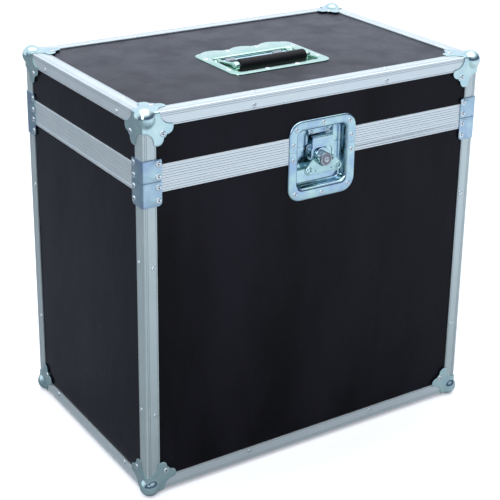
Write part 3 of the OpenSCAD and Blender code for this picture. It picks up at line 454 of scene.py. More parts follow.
def inside(points, loop):
    """For each point, whether it lies within the loop."""
    p = np.array(points)[:, None, :]
    a = np.array(loop)[None, :, :]
    b = np.roll(a, -1, axis=1)
    straddles = (a[..., 1] > p[..., 1]) != (b[..., 1] > p[..., 1])
    rise = np.where(b[..., 1] == a[..., 1], 1e-12, b[..., 1] - a[..., 1])
    reach = a[..., 0] + (p[..., 1] - a[..., 1]) * (b[..., 0] - a[..., 0]) / rise
    return (straddles & (p[..., 0] < reach)).sum(axis=1) % 2 == 1


def distance(points, loop):
    """For each point, how far it lies from the loop's line."""
    p = np.array(points)[:, None, :]
    a = np.array(loop)[None, :, :]
    step = np.roll(a, -1, axis=1) - a
    t = ((p - a) * step).sum(-1) / np.maximum((step * step).sum(-1), 1e-12)
    foot = a + np.clip(t, 0, 1)[..., None] * step
    return np.sqrt(((p - foot) ** 2).sum(-1)).min(axis=1)


def filled(outline, holes=(), within=()):
    """Fills an outline with triangles, round its holes and through the points given within it."""
    points, edges = [], []
    for loop in [outline] + list(holes):
        first = len(points)
        points += [Vector(p) for p in loop]
        edges += [(first + i, first + (i + 1) % len(loop)) for i in range(len(loop))]
    points += [Vector(p) for p in within]
    result = delaunay_2d_cdt(points, edges, [list(range(len(outline)))], 1, 1e-6)
    spots, faces = result[0], [list(f) for f in result[2]]
    for hole in holes:
        middles = [sum((spots[i] for i in f), Vector((0, 0))) / len(f) for f in faces]
        out = inside([tuple(m) for m in middles], hole)
        faces = [f for f, gone in zip(faces, out) if not gone]
    return [tuple(s) for s in spots], faces


# %% Flat plates with rounded edges
def plate(bm, loops, low, high, edge, place):
    """A flat plate between two heights, from its outline and holes, with rounded edges."""
    curve = bpy.data.curves.new("outline", "CURVE")
    curve.dimensions = "2D"
    curve.fill_mode = "BOTH"
    curve.extrude = (high - low) / 2 - edge
    curve.bevel_depth = edge
    curve.bevel_resolution = 2
    curve.offset = -edge
    for loop in loops:
        line = curve.splines.new("POLY")
        line.points.add(len(loop) - 1)
        for spot, (x, y) in zip(line.points, loop):
            spot.co = (x, y, 0, 1)
        line.use_cyclic_u = True
    ob = new_object("outline", curve)
    bpy.context.view_layer.update()
    mesh = bpy.data.meshes.new_from_object(ob.evaluated_get(bpy.context.evaluated_depsgraph_get()))
    mesh.transform(place @ Matrix.Translation((0, 0, (low + high) / 2)))
    part = bmesh.new()
    part.from_mesh(mesh)
    bmesh.ops.remove_doubles(part, verts=part.verts, dist=0.004 * MM)
    bmesh.ops.recalc_face_normals(part, faces=part.faces)
    part.to_mesh(mesh)
    part.free()
    bm.from_mesh(mesh)
    bpy.data.objects.remove(ob)
    bpy.data.curves.remove(curve)
    bpy.data.meshes.remove(mesh)


def rounded_loop(x0, y0, x1, y1, low_r, high_r, steps):
    """A rectangle with one corner radius below and one above, anticlockwise from its lower left."""
    corners = [((x0 + low_r, y0 + low_r), low_r, 180), ((x1 - low_r, y0 + low_r), low_r, 270),
               ((x1 - high_r, y1 - high_r), high_r, 0), ((x0 + high_r, y1 - high_r), high_r, 90)]
    return [p for centre, r, start in corners for p in arc(centre, r, start, start + 90, steps)]


# %% A softened copy of a construction node
def merged_copy(node):
    """The node's mesh with its triangles merged and its flat areas joined."""
    bm = bmesh.new()
    bm.from_mesh(nodes[node].data)
    bmesh.ops.remove_doubles(bm, verts=bm.verts, dist=0.002 * MM)
    bmesh.ops.dissolve_degenerate(bm, edges=bm.edges, dist=0.002 * MM)
    bmesh.ops.dissolve_limit(bm, angle_limit=math.radians(0.5), verts=bm.verts, edges=bm.edges)
    return bm


def softened(node, round_mm, material, segments=2, sharp=50):
    """A copy of a node with its edges rounded, in place of the node."""
    ob = from_bmesh(node + "_finished", merged_copy(node))
    edge = ob.modifiers.new("edges", "BEVEL")
    edge.width = round_mm * MM
    edge.segments = segments
    edge.limit_method = "ANGLE"
    edge.angle_limit = math.radians(34)
    edge.use_clamp_overlap = True
    ob.modifiers.new("flat faces stay flat", "WEIGHTED_NORMAL").keep_sharp = True
    settle(ob, sharp)
    return hand_over(ob, node, material)


# %% [markdown]
# ## Where things are
# Every place is read from the construction model: the outer planes of the case, the seam between
# the lid and the base, and the frames of the latch and the handle.

# %% The main planes and frames
half_w, half_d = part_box("base_uprights")[1][:2]
z_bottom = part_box("bottom_edge_front")[0][2]
z_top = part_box("top_edge_front")[1][2]
z_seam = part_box("groove_rim_front")[1][2]
OUT_OF_FRONT = ((1, 0, 0), (0, 0, 1), (0, -1, 0))
latch_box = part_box("latch_dish")
latch_x = (latch_box[0][0] + latch_box[1][0]) / 2
rotor_x = (rotor_centre[0] - latch_x) / MM
rotor_y = (rotor_centre[2] - z_seam) / MM
latch_frame = at(latch_x, -half_d, z_seam, OUT_OF_FRONT)
rotor_frame = latch_frame @ Matrix.Translation((rotor_x, rotor_y, 0))
print("half width", half_w, "half depth", half_d, "seam", z_seam, "top", z_top)
print("rotor", round(rotor_x, 2), round(rotor_y, 2), "mm from the latch's middle on the seam")


# %% [markdown]
# ## Panels
# The boards' own shape is right as it stands: flat, with their edges buried in the profiles. They
# only need the film. A modelled veneer edge would never be seen.

# %% Film on the panels
for name in nodes:
    if name.endswith("_panel"):
        nodes[name].data.materials.clear()
        nodes[name].data.materials.append(film)
print([n for n in nodes if n.endswith("_panel")])

# %% [markdown]
# ## Edge profiles and rims
# Each bar keeps its drawn section with its fine lines. The lines are too small to model any finer,
# but their edges are softened so that they read as ribs and not as cuts.

# %% Ribbed aluminium bars
ALONG = {"front": "x", "back": "x", "left": "y", "right": "y"}
GROOVE_DEEP = 0.3


def bar(name, axis):
    """Softens a bar and gives the bottoms of its grooves a darker grade: painted shade with some grime.
    """
    mesh = softened(name, 0.1, aluminium[axis], segments=1, sharp=28).data
    mesh.materials.append(grooves[axis])
    # Faces at the grooves' depth take the darker metal: painted shade in the grooves, with some grime.
    for face in mesh.polygons:
        depths = (half_w - abs(face.center.x), half_d - abs(face.center.y),
                  z_top - face.center.z, face.center.z - z_bottom)
        facing = (abs(face.normal.x), abs(face.normal.y), face.normal.z, -face.normal.z)
        for depth, turned_out in zip(depths, facing):
            if turned_out > 0.9 and abs(depth / MM - GROOVE_DEEP) < 0.05:
                face.material_index = 1


for name in nodes:
    if "_edge_" in name or "_rim_" in name:
        bar(name, ALONG[name.rsplit("_", 1)[1]])
    if name.endswith("_uprights"):
        bar(name, "z")
print(len(made), "pieces so far")

# %% [markdown]
# ## Blind rivets
# Some 140 blind rivets hold the case together. One head could be copied by hand to each hole, but
# they all follow one rule, so Geometry Nodes set them: a cloud of points carries the direction and
# the head size of every rivet, read from the construction model, and the tree stands one turned
# head on each point. A real head is a low dome with a dark pit, where the mandrel snapped off, and
# no two mandrels snap alike: the tree turns each one by its own seeded angle and tips it slightly.

# %% Read the rivets' places from the construction model
def rivets_of(node):
    """Outer end, inner end, outward direction and head radius of each rivet in a node, in metres."""
    bm = bmesh.new()
    bm.from_mesh(nodes[node].data)
    bmesh.ops.remove_doubles(bm, verts=bm.verts, dist=0.002 * MM)
    # A dict keeps its order, so each run finds the rivets in the same order; a set would not.
    left = dict.fromkeys(bm.verts)
    found = []
    while left:
        pile, island = [left.popitem()[0]], []
        while pile:
            vert = pile.pop()
            island.append(vert.co.copy())
            for edge in vert.link_edges:
                other = edge.other_vert(vert)
                if other in left:
                    del left[other]
                    pile.append(other)
        spots = np.array(island)
        low, high = spots.min(axis=0), spots.max(axis=0)
        axis = int(np.argmax(high - low))
        middle = (low + high) / 2
        outward = Vector((0, 0, 0))
        outward[axis] = math.copysign(1, (middle - case_middle)[axis])
        outer = high[axis] if outward[axis] > 0 else low[axis]
        inner = low[axis] if outward[axis] > 0 else high[axis]
        near = spots[np.abs(spots[:, axis] - outer) < 1.3 * MM]
        radius = np.delete(np.abs(near - middle), axis, axis=1).max()
        head, tail = Vector(middle), Vector(middle)
        head[axis], tail[axis] = outer, inner
        found.append((head, tail, outward, radius))
    bm.free()
    return found


case_middle = np.array([0.0, 0.0, (z_bottom + z_top) / 2])
rivets = {node: rivets_of(node) for node in ("base_rivets", "lid_rivets")}
print({node: len(found) for node, found in rivets.items()}, "rivets")

# %% Turned shapes that the tree sets: head, mandrel stub and tail
HEAD_RADIUS = 3.2
HEAD_HEIGHT = 1.1
TAIL_RADIUS = 2.7
TAIL_HEIGHT = 2.4
SHANK_RADIUS = 1.95
head_profile = [(0, -4.0), (SHANK_RADIUS, -4.0), (SHANK_RADIUS, -HEAD_HEIGHT), (3.15, -HEAD_HEIGHT),
                (HEAD_RADIUS, -0.98), (3.02, -0.62), (2.5, -0.3), (1.8, -0.08), (1.25, 0.0),
                (1.0, -0.12), (0.92, -0.78), (0, -0.8)]
stub_profile = [(0, -0.9), (0.84, -0.9), (0.8, -0.62), (0.5, -0.5), (0, -0.58)]
tail_profile = [(0, 0), (1.1, 0.05), (2.1, 0.4), (TAIL_RADIUS, 1.3), (2.6, 2.3),
                (SHANK_RADIUS, TAIL_HEIGHT), (SHANK_RADIUS, 4.2), (0, 4.2)]


def turned_source(name, profile, steps):
    bm = bmesh.new()
    turned(bm, profile, Matrix.Scale(MM, 4), steps)
    ob = from_bmesh(name, bm)
    ob.data.shade_smooth()
    return ob


sources = {"head": turned_source("rivet_head", head_profile, 20),
           "stub": turned_source("rivet_stub", stub_profile, 10),
           "tail": turned_source("rivet_tail", tail_profile, 10)}
print({name: len(ob.data.polygons) for name, ob in sources.items()}, "faces each")


# %% Helpers for trees
def new_tree(name, inputs):
    """A tree with geometry in and out and the named inputs, and each input's identifier."""
    tree = bpy.data.node_groups.new(name, "GeometryNodeTree")
    tree.interface.new_socket(name="Geometry", in_out="INPUT", socket_type="NodeSocketGeometry")
    tree.interface.new_socket(name="Geometry", in_out="OUTPUT", socket_type="NodeSocketGeometry")
    ids = {}
    for label, kind in inputs.items():
        socket = tree.interface.new_socket(name=label, in_out="INPUT", socket_type="NodeSocket" + kind)
        ids[label] = socket.identifier
    return tree, ids


def realised(tree, geometry, metal):
    """Ends a branch: its instances are made real and given their material."""
    real = add(tree, "GeometryNodeRealizeInstances", links={"Geometry": geometry}).outputs["Geometry"]
    links = {"Geometry": real, "Material": metal}
    return add(tree, "GeometryNodeSetMaterial", links=links).outputs["Geometry"]


def run_tree(ob, tree, ids, chosen):
    """Runs a tree on an object with the chosen inputs, and leaves a plain mesh."""
    modifier = ob.modifiers.new(tree.name, "NODES")
    modifier.node_group = tree
    for name, value in chosen.items():
        modifier[ids[name]] = value
    settle(ob, 60)


# %% The tree that sets the rivets
def attribute(tree, name, kind):
    return add(tree, "GeometryNodeInputNamedAttribute", {"data_type": kind},
               {"Name": name}).outputs["Attribute"]


def rivet_tree():
    """Stands heads and stubs on the points marked 0, tails on the points marked 1."""
    tree, ids = new_tree("set_rivets", {
        "Head": "Object", "Stub": "Object", "Tail": "Object", "Plate": "Material", "Steel": "Material",
        "Head radius": "Float", "Tip": "Float", "Seed": "Int"})
    source = add(tree, "NodeGroupInput").outputs
    outward = attribute(tree, "outward", "FLOAT_VECTOR")
    radius = attribute(tree, "radius", "FLOAT")
    is_tail = attribute(tree, "is_tail", "FLOAT")
    stand = add(tree, "FunctionNodeAlignRotationToVector", {"axis": "Z"},
                links={"Vector": outward}).outputs["Rotation"]
    spin = add(tree, "FunctionNodeRandomValue", {"data_type": "FLOAT_VECTOR"},
               {"Max": (1, 1, 1)}, {"Seed": source["Seed"]}).outputs["Value"]
    sway = add(tree, "ShaderNodeCombineXYZ", values={"Z": 2 * math.pi},
               links={"X": source["Tip"], "Y": source["Tip"]}).outputs["Vector"]
    turn = add(tree, "ShaderNodeVectorMath", {"operation": "MULTIPLY"},
               links={0: spin, 1: sway}).outputs["Vector"]
    facing = add(tree, "FunctionNodeRotateRotation", {"rotation_space": "LOCAL"},
                 links={"Rotation": stand, "Rotate By": turn}).outputs["Rotation"]
    wide = add(tree, "ShaderNodeMath", {"operation": "DIVIDE"},
               links={0: radius, 1: source["Head radius"]}).outputs["Value"]
    size = add(tree, "ShaderNodeCombineXYZ", values={"Z": 1.0},
               links={"X": wide, "Y": wide}).outputs["Vector"]
    split = add(tree, "GeometryNodeSeparateGeometry", {"domain": "POINT"},
                links={"Geometry": source["Geometry"], "Selection": is_tail}).outputs
    joined = add(tree, "GeometryNodeJoinGeometry")
    for piece, points, metal, scale in (("Tail", "Selection", "Plate", None),
                                        ("Stub", "Inverted", "Steel", size),
                                        ("Head", "Inverted", "Plate", size)):
        shape = add(tree, "GeometryNodeObjectInfo", {"transform_space": "ORIGINAL"},
                    links={"Object": source[piece]}).outputs["Geometry"]
        links = {"Points": split[points], "Instance": shape, "Rotation": facing}
        if scale:
            links["Scale"] = scale
        placed = add(tree, "GeometryNodeInstanceOnPoints", links=links).outputs["Instances"]
        tree.links.new(realised(tree, placed, source[metal]), joined.inputs["Geometry"])
    add(tree, "NodeGroupOutput", links={"Geometry": joined.outputs["Geometry"]})
    return tree, ids


set_rivets, rivet_inputs = rivet_tree()
print("tree with inputs", list(rivet_inputs))


# %% Set the rivets of each body
def tidy_slots(mesh):
    """Drops the empty material slots that a tree leaves behind, and keeps each face's own metal."""
    metals = list(mesh.materials)
    kept = [m for m in dict.fromkeys(metals) if m]
    places = np.zeros(len(mesh.polygons), dtype=np.int32)
    mesh.polygons.foreach_get("material_index", places)
    renumber = np.array([kept.index(m) if m else 0 for m in metals], dtype=np.int32)
    mesh.materials.clear()
    for metal in kept:
        mesh.materials.append(metal)
    mesh.polygons.foreach_set("material_index", renumber[places])


def set_body_rivets(node, seed):
    found = rivets[node]
    mesh = bpy.data.meshes.new(node + "_finished")
    mesh.from_pydata([head for head, *_ in found] + [tail for _, tail, *_ in found], [], [])
    outward = [n for _, _, n, _ in found] * 2
    values = {"outward": ("FLOAT_VECTOR", "vector", [c for n in outward for c in n]),
              "radius": ("FLOAT", "value", [r for *_, r in found] * 2),
              "is_tail": ("FLOAT", "value", [0.0] * len(found) + [1.0] * len(found))}
    for name, (kind, field, numbers) in values.items():
        mesh.attributes.new(name, kind, "POINT").data.foreach_set(field, numbers)
    ob = new_object(node + "_finished", mesh)
    # The stubs take the darker steel: painted shade in the pit of each head, partly the mandrel's bare
    # steel.
    run_tree(ob, set_rivets, rivet_inputs, {
        "Head": sources["head"], "Stub": sources["stub"], "Tail": sources["tail"],
        "Plate": rivet_zinc, "Steel": dark_steel, "Head radius": HEAD_RADIUS * MM,
        "Tip": math.radians(1.5), "Seed": seed})
    tidy_slots(ob.data)
    print(ob.name, len(ob.data.polygons), "faces", [m.name for m in ob.data.materials])
    return hand_over(ob, node)


for seed, node in enumerate(rivets, 7):
    set_body_rivets(node, seed)
for source in sources.values():
    bpy.data.objects.remove(source)
bpy.data.node_groups.remove(set_rivets)

# %% [markdown]
# ## Ball corners
# Each corner is one pressing: a ball that takes the knocks, running out through a soft collar into
# three leaves with lobed outlines. It could be a sphere joined to three plates, but then the collar
# would be a crease, and the collar is what the eye knows such a corner by. So the outer face is
# worked out as a blend: a rounded box corner and a ball are two distance functions, and a smooth
# minimum runs one into the other. Points laid out on each flat leaf are pushed along rays from deep
# inside the case until they meet that blend, and a wall thickness follows behind them.

# %% Outline of one leaf, from the corner along its two edges
LEAF_T = 1.2
LEAF_REACH = 43.0
LOBE_R = 8.5
LOBE_NEAR = 21.0
NOTCH_R = 15.5
NOTCH_AT = 40.0
RIVET_PAD = (28.0, 28.0)
RIVET_PAD_R = 6.0


def leaf_outline():
    """Half the outline runs from one edge of the case to the pad in the middle; the rest mirrors it."""
    notch, lobe = (NOTCH_AT, 0.0), (LEAF_REACH - LOBE_R, LOBE_NEAR)
    start = angle_of(notch, (NOTCH_AT - math.sqrt(NOTCH_R ** 2 - LEAF_T ** 2), -LEAF_T)) % 360
    tip = crossing(notch, NOTCH_R, lobe, LOBE_R, -1)
    valley = crossing(lobe, LOBE_R, RIVET_PAD, RIVET_PAD_R, -1)
    half = arc(notch, NOTCH_R, start, angle_of(notch, tip), 16)
    half += arc(lobe, LOBE_R, angle_of(lobe, tip), angle_of(lobe, valley), 14)[1:]
    half += arc(RIVET_PAD, RIVET_PAD_R, angle_of(RIVET_PAD, valley), 45, 5)[1:]
    edge = [(-LEAF_T + (half[0][0] + LEAF_T) * i / 18, -LEAF_T) for i in range(18)]
    other = [(y, x) for x, y in reversed(edge[1:] + half[:-1])]
    return edge, half, other


leaf_edge, leaf_half, leaf_other = leaf_outline()
leaf_loop = leaf_edge + leaf_half + leaf_other
print(len(leaf_loop), "points round a leaf")

# %% The blend of ball and box corner
BALL_R = 13.5
BALL_IN = 7.0
BEND_R = 2.7
COLLAR = 2.2
DEEP = np.array([22.0, 22.0, 22.0])


def blend_height(points):
    """Distance outside the blended surface, below zero inside it."""
    q = -LEAF_T + BEND_R - points
    box = np.linalg.norm(np.maximum(q, 0), axis=1) + np.minimum(q.max(axis=1), 0) - BEND_R
    ball = np.linalg.norm(points - BALL_IN, axis=1) - BALL_R
    near = np.maximum(COLLAR - np.abs(box - ball), 0) / COLLAR
    return np.minimum(box, ball) - near * near * COLLAR / 4


def pushed(points):
    """Moves points along rays from deep inside until they lie on the blended surface."""
    rays = points - DEEP
    low, high = np.full(len(points), 0.3), np.full(len(points), 1.9)
    for _ in range(40):
        middle = (low + high) / 2
        within = blend_height(DEEP + rays * middle[:, None]) < 0
        low, high = np.where(within, middle, low), np.where(within, high, middle)
    return DEEP + rays * low[:, None]


# %% One corner, and its eight places
def leaf_points():
    """Points within a leaf: close together under the ball and by the bends, wider elsewhere."""
    steps = [-0.6, 0.1, 0.9] + [0.9 + 0.9 * i for i in range(1, 23)]
    steps += [steps[-1] + 2.4 * i for i in range(1, 10)]
    grid = [(x, y) for x in steps for y in steps]
    free = inside(grid, leaf_loop) & (distance(grid, leaf_loop) > 0.45)
    inner = leaf_ring(0.4)
    grid = [p for p, ok in zip(grid, free) if ok]
    clear = distance(grid, leaf_half + leaf_other) > 1.0
    return [p for p, ok in zip(grid, clear) if ok] + inner


def leaf_ring(step):
    """A line of points just within the cut outline, for its rounded edge."""
    line = leaf_half + leaf_other[:len(leaf_half) - 1]
    ring = []
    for before, here, after in zip(line, line[1:], line[2:]):
        along = Vector(after) - Vector(before)
        off = Vector((-along.y, along.x)).normalized() * step
        ring.append((here[0] + off.x, here[1] + off.y))
    ok = inside(ring, leaf_loop) & (distance(ring, leaf_loop) > step * 0.8)
    return [p for p, good in zip(ring, ok) if good]


def corner_shape():
    """Points and faces of the outer skin, as a corner at the origin with the case towards +x +y +z."""
    flat, faces = filled(leaf_loop, within=leaf_points())
    cut = leaf_half + leaf_other[:len(leaf_half) - 1]
    rim = distance(flat, leaf_loop) < 0.01
    on_edge = np.array([min(p) < -LEAF_T + 0.01 for p in flat])
    drop = np.where(rim & ~on_edge, 0.3, 0.0)
    points, corners = [], []
    for order in ((0, 1, 2), (2, 0, 1), (1, 2, 0)):
        first = len(points)
        skin = np.zeros((len(flat), 3))
        skin[:, order[0]] = [p[0] for p in flat]
        skin[:, order[1]] = [p[1] for p in flat]
        skin[:, order[2]] = -LEAF_T
        skin = pushed(skin)
        skin[:, order[2]] += drop
        points += skin.tolist()
        corners += [[first + i for i in reversed(f)] for f in faces]
    return points, corners


corner_points, corner_faces = corner_shape()
print(len(corner_points), "points,", len(corner_faces), "triangles in a corner's outer skin")


def ball_corner(node):
    low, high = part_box(node)
    right, back, top = low[0] > 0, low[1] > 0, low[2] > z_seam
    start = (half_w if right else -half_w, half_d if back else -half_d, z_top if top else z_bottom)
    columns = ((-1 if right else 1, 0, 0), (0, -1 if back else 1, 0), (0, 0, -1 if top else 1))
    bm = bmesh.new()
    put(bm, corner_points, corner_faces, at(*start, columns))
    bmesh.ops.remove_doubles(bm, verts=bm.verts, dist=0.02 * MM)
    for vert in bm.verts:
        vert.co.z = max(vert.co.z, 0.0)
    bmesh.ops.recalc_face_normals(bm, faces=bm.faces)
    outward = Vector((1 if right else -1, 1 if back else -1, 1 if top else -1))
    if sum(f.normal.dot(outward) * f.calc_area() for f in bm.faces) < 0:
        bmesh.ops.reverse_faces(bm, faces=bm.faces)
    ob = from_bmesh(node + "_finished", bm)
    wall = ob.modifiers.new("wall", "SOLIDIFY")
    wall.thickness = (LEAF_T - 0.1) * MM
    wall.offset = -1.0
    settle(ob, 38)
    return hand_over(ob, node, bright_zinc)


for name in nodes:
    if "_corner_" in name:
        ball_corner(name)
print(len(made), "pieces so far")

# %% [markdown]
# ## Braces
# At each upright corner two folded plates, one on the base and one on the lid, stiffen the seam.
# A folded plate is easiest to draw flat, as it was cut, and then bent: points near the fold are
# wound round the bend's radius and the rest run straight on. That keeps the bend truly round.

# %% Braces, drawn flat and folded round the corner
BRACE_T = 1.3
BRACE_LEG = 26.0
FOLD_IN = 1.5
FOLD_R = BRACE_T + FOLD_IN
FOLD_HALF = FOLD_R * math.pi / 4
NEAR_ROUND = 0.8


def brace_flat(height, far_round):
    """Outline of the unfolded plate, from v = 0 at the seam up, and points along its fold."""
    reach = BRACE_LEG - FOLD_IN + FOLD_HALF
    loop = rounded_loop(-reach, 0, reach, height, NEAR_ROUND, far_round, 5)
    fold = [FOLD_HALF * (i / 4 - 1) for i in range(9)]
    rows = [height * j / 10 for j in range(11)]
    within = [(s, v) for s in fold for v in rows[1:-1]]
    cut = [(s, v) for s in fold for v in (0, height)]
    low = sorted([p for p in cut if p[1] == 0])
    high = sorted([p for p in cut if p[1] == height], reverse=True)
    return splice(splice(loop, low), high), within


def splice(loop, extra):
    """Puts points that lie on one straight side of the loop between that side's two ends."""
    y, turn = extra[0][1], 1 if extra[-1][0] > extra[0][0] else -1
    for i, (here, after) in enumerate(zip(loop, loop[1:] + loop[:1])):
        if abs(here[1] - y) < 1e-6 and abs(after[1] - y) < 1e-6 and (after[0] - here[0]) * turn > 0:
            return loop[:i + 1] + extra + loop[i + 1:]
    raise ValueError("no side to splice into")


def folded(s, v):
    """From the flat plate to the corner: u along one face, w along the other, v away from the seam."""
    if abs(s) <= FOLD_HALF:
        turn = math.radians(225) + s / FOLD_R
        return FOLD_IN + FOLD_R * math.cos(turn), FOLD_IN + FOLD_R * math.sin(turn), v
    run = FOLD_IN + abs(s) - FOLD_HALF
    return (run, -BRACE_T, v) if s > 0 else (-BRACE_T, run, v)


def braces(node, seam, up, height, far_round):
    outline, within = brace_flat(height, far_round)
    flat, faces = filled(outline, within=within)
    points = [folded(s, v) for s, v in flat]
    bm = bmesh.new()
    for right in (-1, 1):
        for back in (-1, 1):
            columns = ((-right, 0, 0), (0, -back, 0), (0, 0, up))
            put(bm, points, faces, at(right * half_w, back * half_d, seam, columns))
    bm.normal_update()
    if sum(f.normal.xy.dot(f.calc_center_median().xy) for f in bm.faces) < 0:
        bmesh.ops.reverse_faces(bm, faces=bm.faces)
    ob = from_bmesh(node + "_finished", bm)
    wall = ob.modifiers.new("wall", "SOLIDIFY")
    wall.thickness = (BRACE_T - 0.05) * MM
    wall.offset = -1.0
    edge = ob.modifiers.new("edges", "BEVEL")
    edge.width = 0.3 * MM
    edge.segments = 2
    edge.limit_method = "ANGLE"
    edge.angle_limit = math.radians(60)
    settle(ob, 40)
    return hand_over(ob, node, zinc)


base_brace_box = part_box("base_braces")
lid_brace_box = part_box("lid_braces")
braces("base_braces", z_seam, -1, (z_seam - base_brace_box[0][2]) / MM, 5.5)
braces("lid_braces", lid_brace_box[0][2], 1, (lid_brace_box[1][2] - lid_brace_box[0][2]) / MM, 2.5)

# %% [markdown]
# ## Dishes
# The latch and the handle both sit in pressed dishes: a flange, a rounded mouth, a wall and a
# rounded floor. A dish like that is a stack of rings with the same number of points, each a
# rectangle with its own corner radius, joined ring to ring. The last ring is filled flat, round any
# hole in the floor, and the sheet's thickness is added behind it.

# %% Rings of a dish
def dish_ring(outer, well, step, height, counts, bulge=None):
    """One ring, step 0 on the outer edge, 1 on the well's wall, and in mm past 1 within the floor."""
    past = max(step - 1.0, 0.0)
    part = min(step, 1.0)
    x0, y0, x1, y1, r = [a + (b - a) * part for a, b in zip(outer, well)]
    x0, y0, x1, y1, r = x0 + past, y0 + past, x1 - past, y1 - past, max(r - past, 1.5)
    sides = [((x0 + r, y0), (x1 - r, y0)), ((x1, y0 + r), (x1, y1 - r)),
             ((x1 - r, y1), (x0 + r, y1)), ((x0, y1 - r), (x0, y0 + r))]
    middles = [(x1 - r, y0 + r), (x1 - r, y1 - r), (x0 + r, y1 - r), (x0 + r, y0 + r)]
    ring = []
    for (start, end), middle, turn, count in zip(sides, middles, (270, 0, 90, 180), counts):
        side = [(start[0] + (end[0] - start[0]) * i / count, start[1] + (end[1] - start[1]) * i / count)
                for i in range(count)]
        if bulge and start[1] == y1 and end[1] == y1:
            side = [(x, y + bulge(x) * max(1 - 2.5 * part, 0)) for x, y in side]
        ring += side + arc(middle, r, turn, turn + 90, 8)
    return [(x, y, height) for x, y in ring]


def dish_shell(rings, holes):
    """Points and faces of the sheet through the rings, with its floor filled."""
    count = len(rings[0])
    points = [p for ring in rings for p in ring]
    faces = []
    for level in range(len(rings) - 1):
        for i in range(count):
            j = (i + 1) % count
            low, high = level * count, (level + 1) * count
            faces.append([low + i, low + j, high + j, high + i])
    floor_z = rings[-1][0][2]
    flat, inner = filled([(x, y) for x, y, _ in rings[-1]], holes)
    first = len(points)
    points += [(x, y, floor_z) for x, y in flat]
    faces += [[first + i for i in f] for f in inner]
    return points, faces


def dish(outer, well, rim, profile, floor, counts, holes=(), bulge=None):
    """The sheet of a dish: a profile of (inset, height) from its edge to the well, then its floor."""
    rings = [dish_ring(outer, well, d / rim, z, counts, bulge) for d, z in profile]
    rings += [dish_ring(outer, well, 1.0 + d, z, counts) for d, z in floor]
    bm = bmesh.new()
    put(bm, *dish_shell(rings, holes), Matrix.Identity(4))
    bmesh.ops.remove_doubles(bm, verts=bm.verts, dist=0.01)
    return bm


def keep_side(bm, height, above):
    """Cuts a shape in its own frame along y, and keeps the part above or below the cut."""
    geometry = bm.verts[:] + bm.edges[:] + bm.faces[:]
    bmesh.ops.bisect_plane(bm, geom=geometry, plane_co=(0, height, 0), plane_no=(0, 1, 0),
                           clear_inner=above, clear_outer=not above)


def sheet_metal(name, bm, place, wall_mm, parts):
    """Gives a shell its wall, adds the solid parts, and takes it all to its place."""
    ob = from_bmesh(name, bm)
    wall = ob.modifiers.new("wall", "SOLIDIFY")
    wall.thickness = wall_mm
    wall.offset = -1.0
    wall.use_even_offset = True
    settle(ob, 40)
    joined = bmesh.new()
    joined.from_mesh(ob.data)
    for draw in parts:
        draw(joined)
    bmesh.ops.remove_doubles(joined, verts=joined.verts, dist=0.001)
    bmesh.ops.transform(joined, matrix=place, verts=joined.verts)
    joined.to_mesh(ob.data)
    joined.free()
    ob.data.shade_smooth()
    ob.data.set_sharp_from_angle(angle=math.radians(38))
    return ob


# %% [markdown]
# ## Latch
# The latch is in its own frame here: x to the right, y up from the seam, z out of the case. Its dish
# is one pressing cut in two at the seam. In it a turned rotor carries a stud and an eccentric; the
# eccentric pulls a claw down on a keeper in the lid, and a folded butterfly wing turns the stud.

# %% Latch dish, in a lower and an upper half
FLANGE_UP = 1.5
FOOT = -1.6
WELL_FLOOR = -12.5
SHEET = 1.2
latch_half = (latch_box[1][0] - latch_box[0][0]) / 2 / MM
latch_down = (z_seam - latch_box[0][2]) / MM
latch_up = (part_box("latch_lid_dish")[1][2] - z_seam) / MM
SIDE_RIM = 15.75
TOP_RIM = 15.3
LOW_RIM = 18.1
SEAM_GAP = 0.3
SHAFT_HOLE = 4.05
MOUTH_IN = 4.75
MOUTH_DEEP = 7.5
latch_outer = (-latch_half, -latch_down, latch_half, latch_up, 20.0)
latch_well = (SIDE_RIM - latch_half, LOW_RIM - latch_down, latch_half - SIDE_RIM,
              latch_up - TOP_RIM, 8.0)
latch_profile = [(0, FOOT), (0, -0.9)] + arc((2.4, -0.9), 2.4, 180, 90, 5)[1:]
latch_profile += [(5.0, FLANGE_UP + 0.12), (8.5, FLANGE_UP + 0.15), (SIDE_RIM - MOUTH_IN, FLANGE_UP)]
latch_profile += [(SIDE_RIM - MOUTH_IN + MOUTH_IN * x, FLANGE_UP - MOUTH_DEEP + MOUTH_DEEP * y)
                  for x, y in arc((0, 0), 1, 90, 0, 9)[1:]]
latch_profile += [(SIDE_RIM, WELL_FLOOR + 3.0)]
latch_floor = arc((3.0, WELL_FLOOR + 3.0), 3.0, 180, 270, 6)[1:]


def latch_shell():
    hole = arc((rotor_x, rotor_y), SHAFT_HOLE, 0, 360, 24)[:-1]
    return dish(latch_outer, latch_well, SIDE_RIM, latch_profile, latch_floor, (16, 16, 16, 16), [hole])


def boss(bm):
    profile = [(8.3, WELL_FLOOR - 0.1), (8.0, -12.1), (8.0, -8.7), (7.7, -8.4), (4.3, -8.4),
               (SHAFT_HOLE, -8.6), (SHAFT_HOLE, WELL_FLOOR - SHEET), (8.3, WELL_FLOOR - SHEET + 0.2)]
    profile.append(profile[0])
    turned(bm, profile, Matrix.Translation((rotor_x, rotor_y, 0)), 40)


for node, cut, above, parts in (("latch_dish", 0.0, False, [boss]),
                                ("latch_lid_dish", SEAM_GAP, True, [])):
    half = latch_shell()
    keep_side(half, cut, above)
    hand_over(sheet_metal(node + "_finished", half, latch_frame, SHEET, parts), node, latch_zinc)
print("latch dish", round(2 * latch_half, 1), "by", round(latch_down + latch_up, 1), "mm")


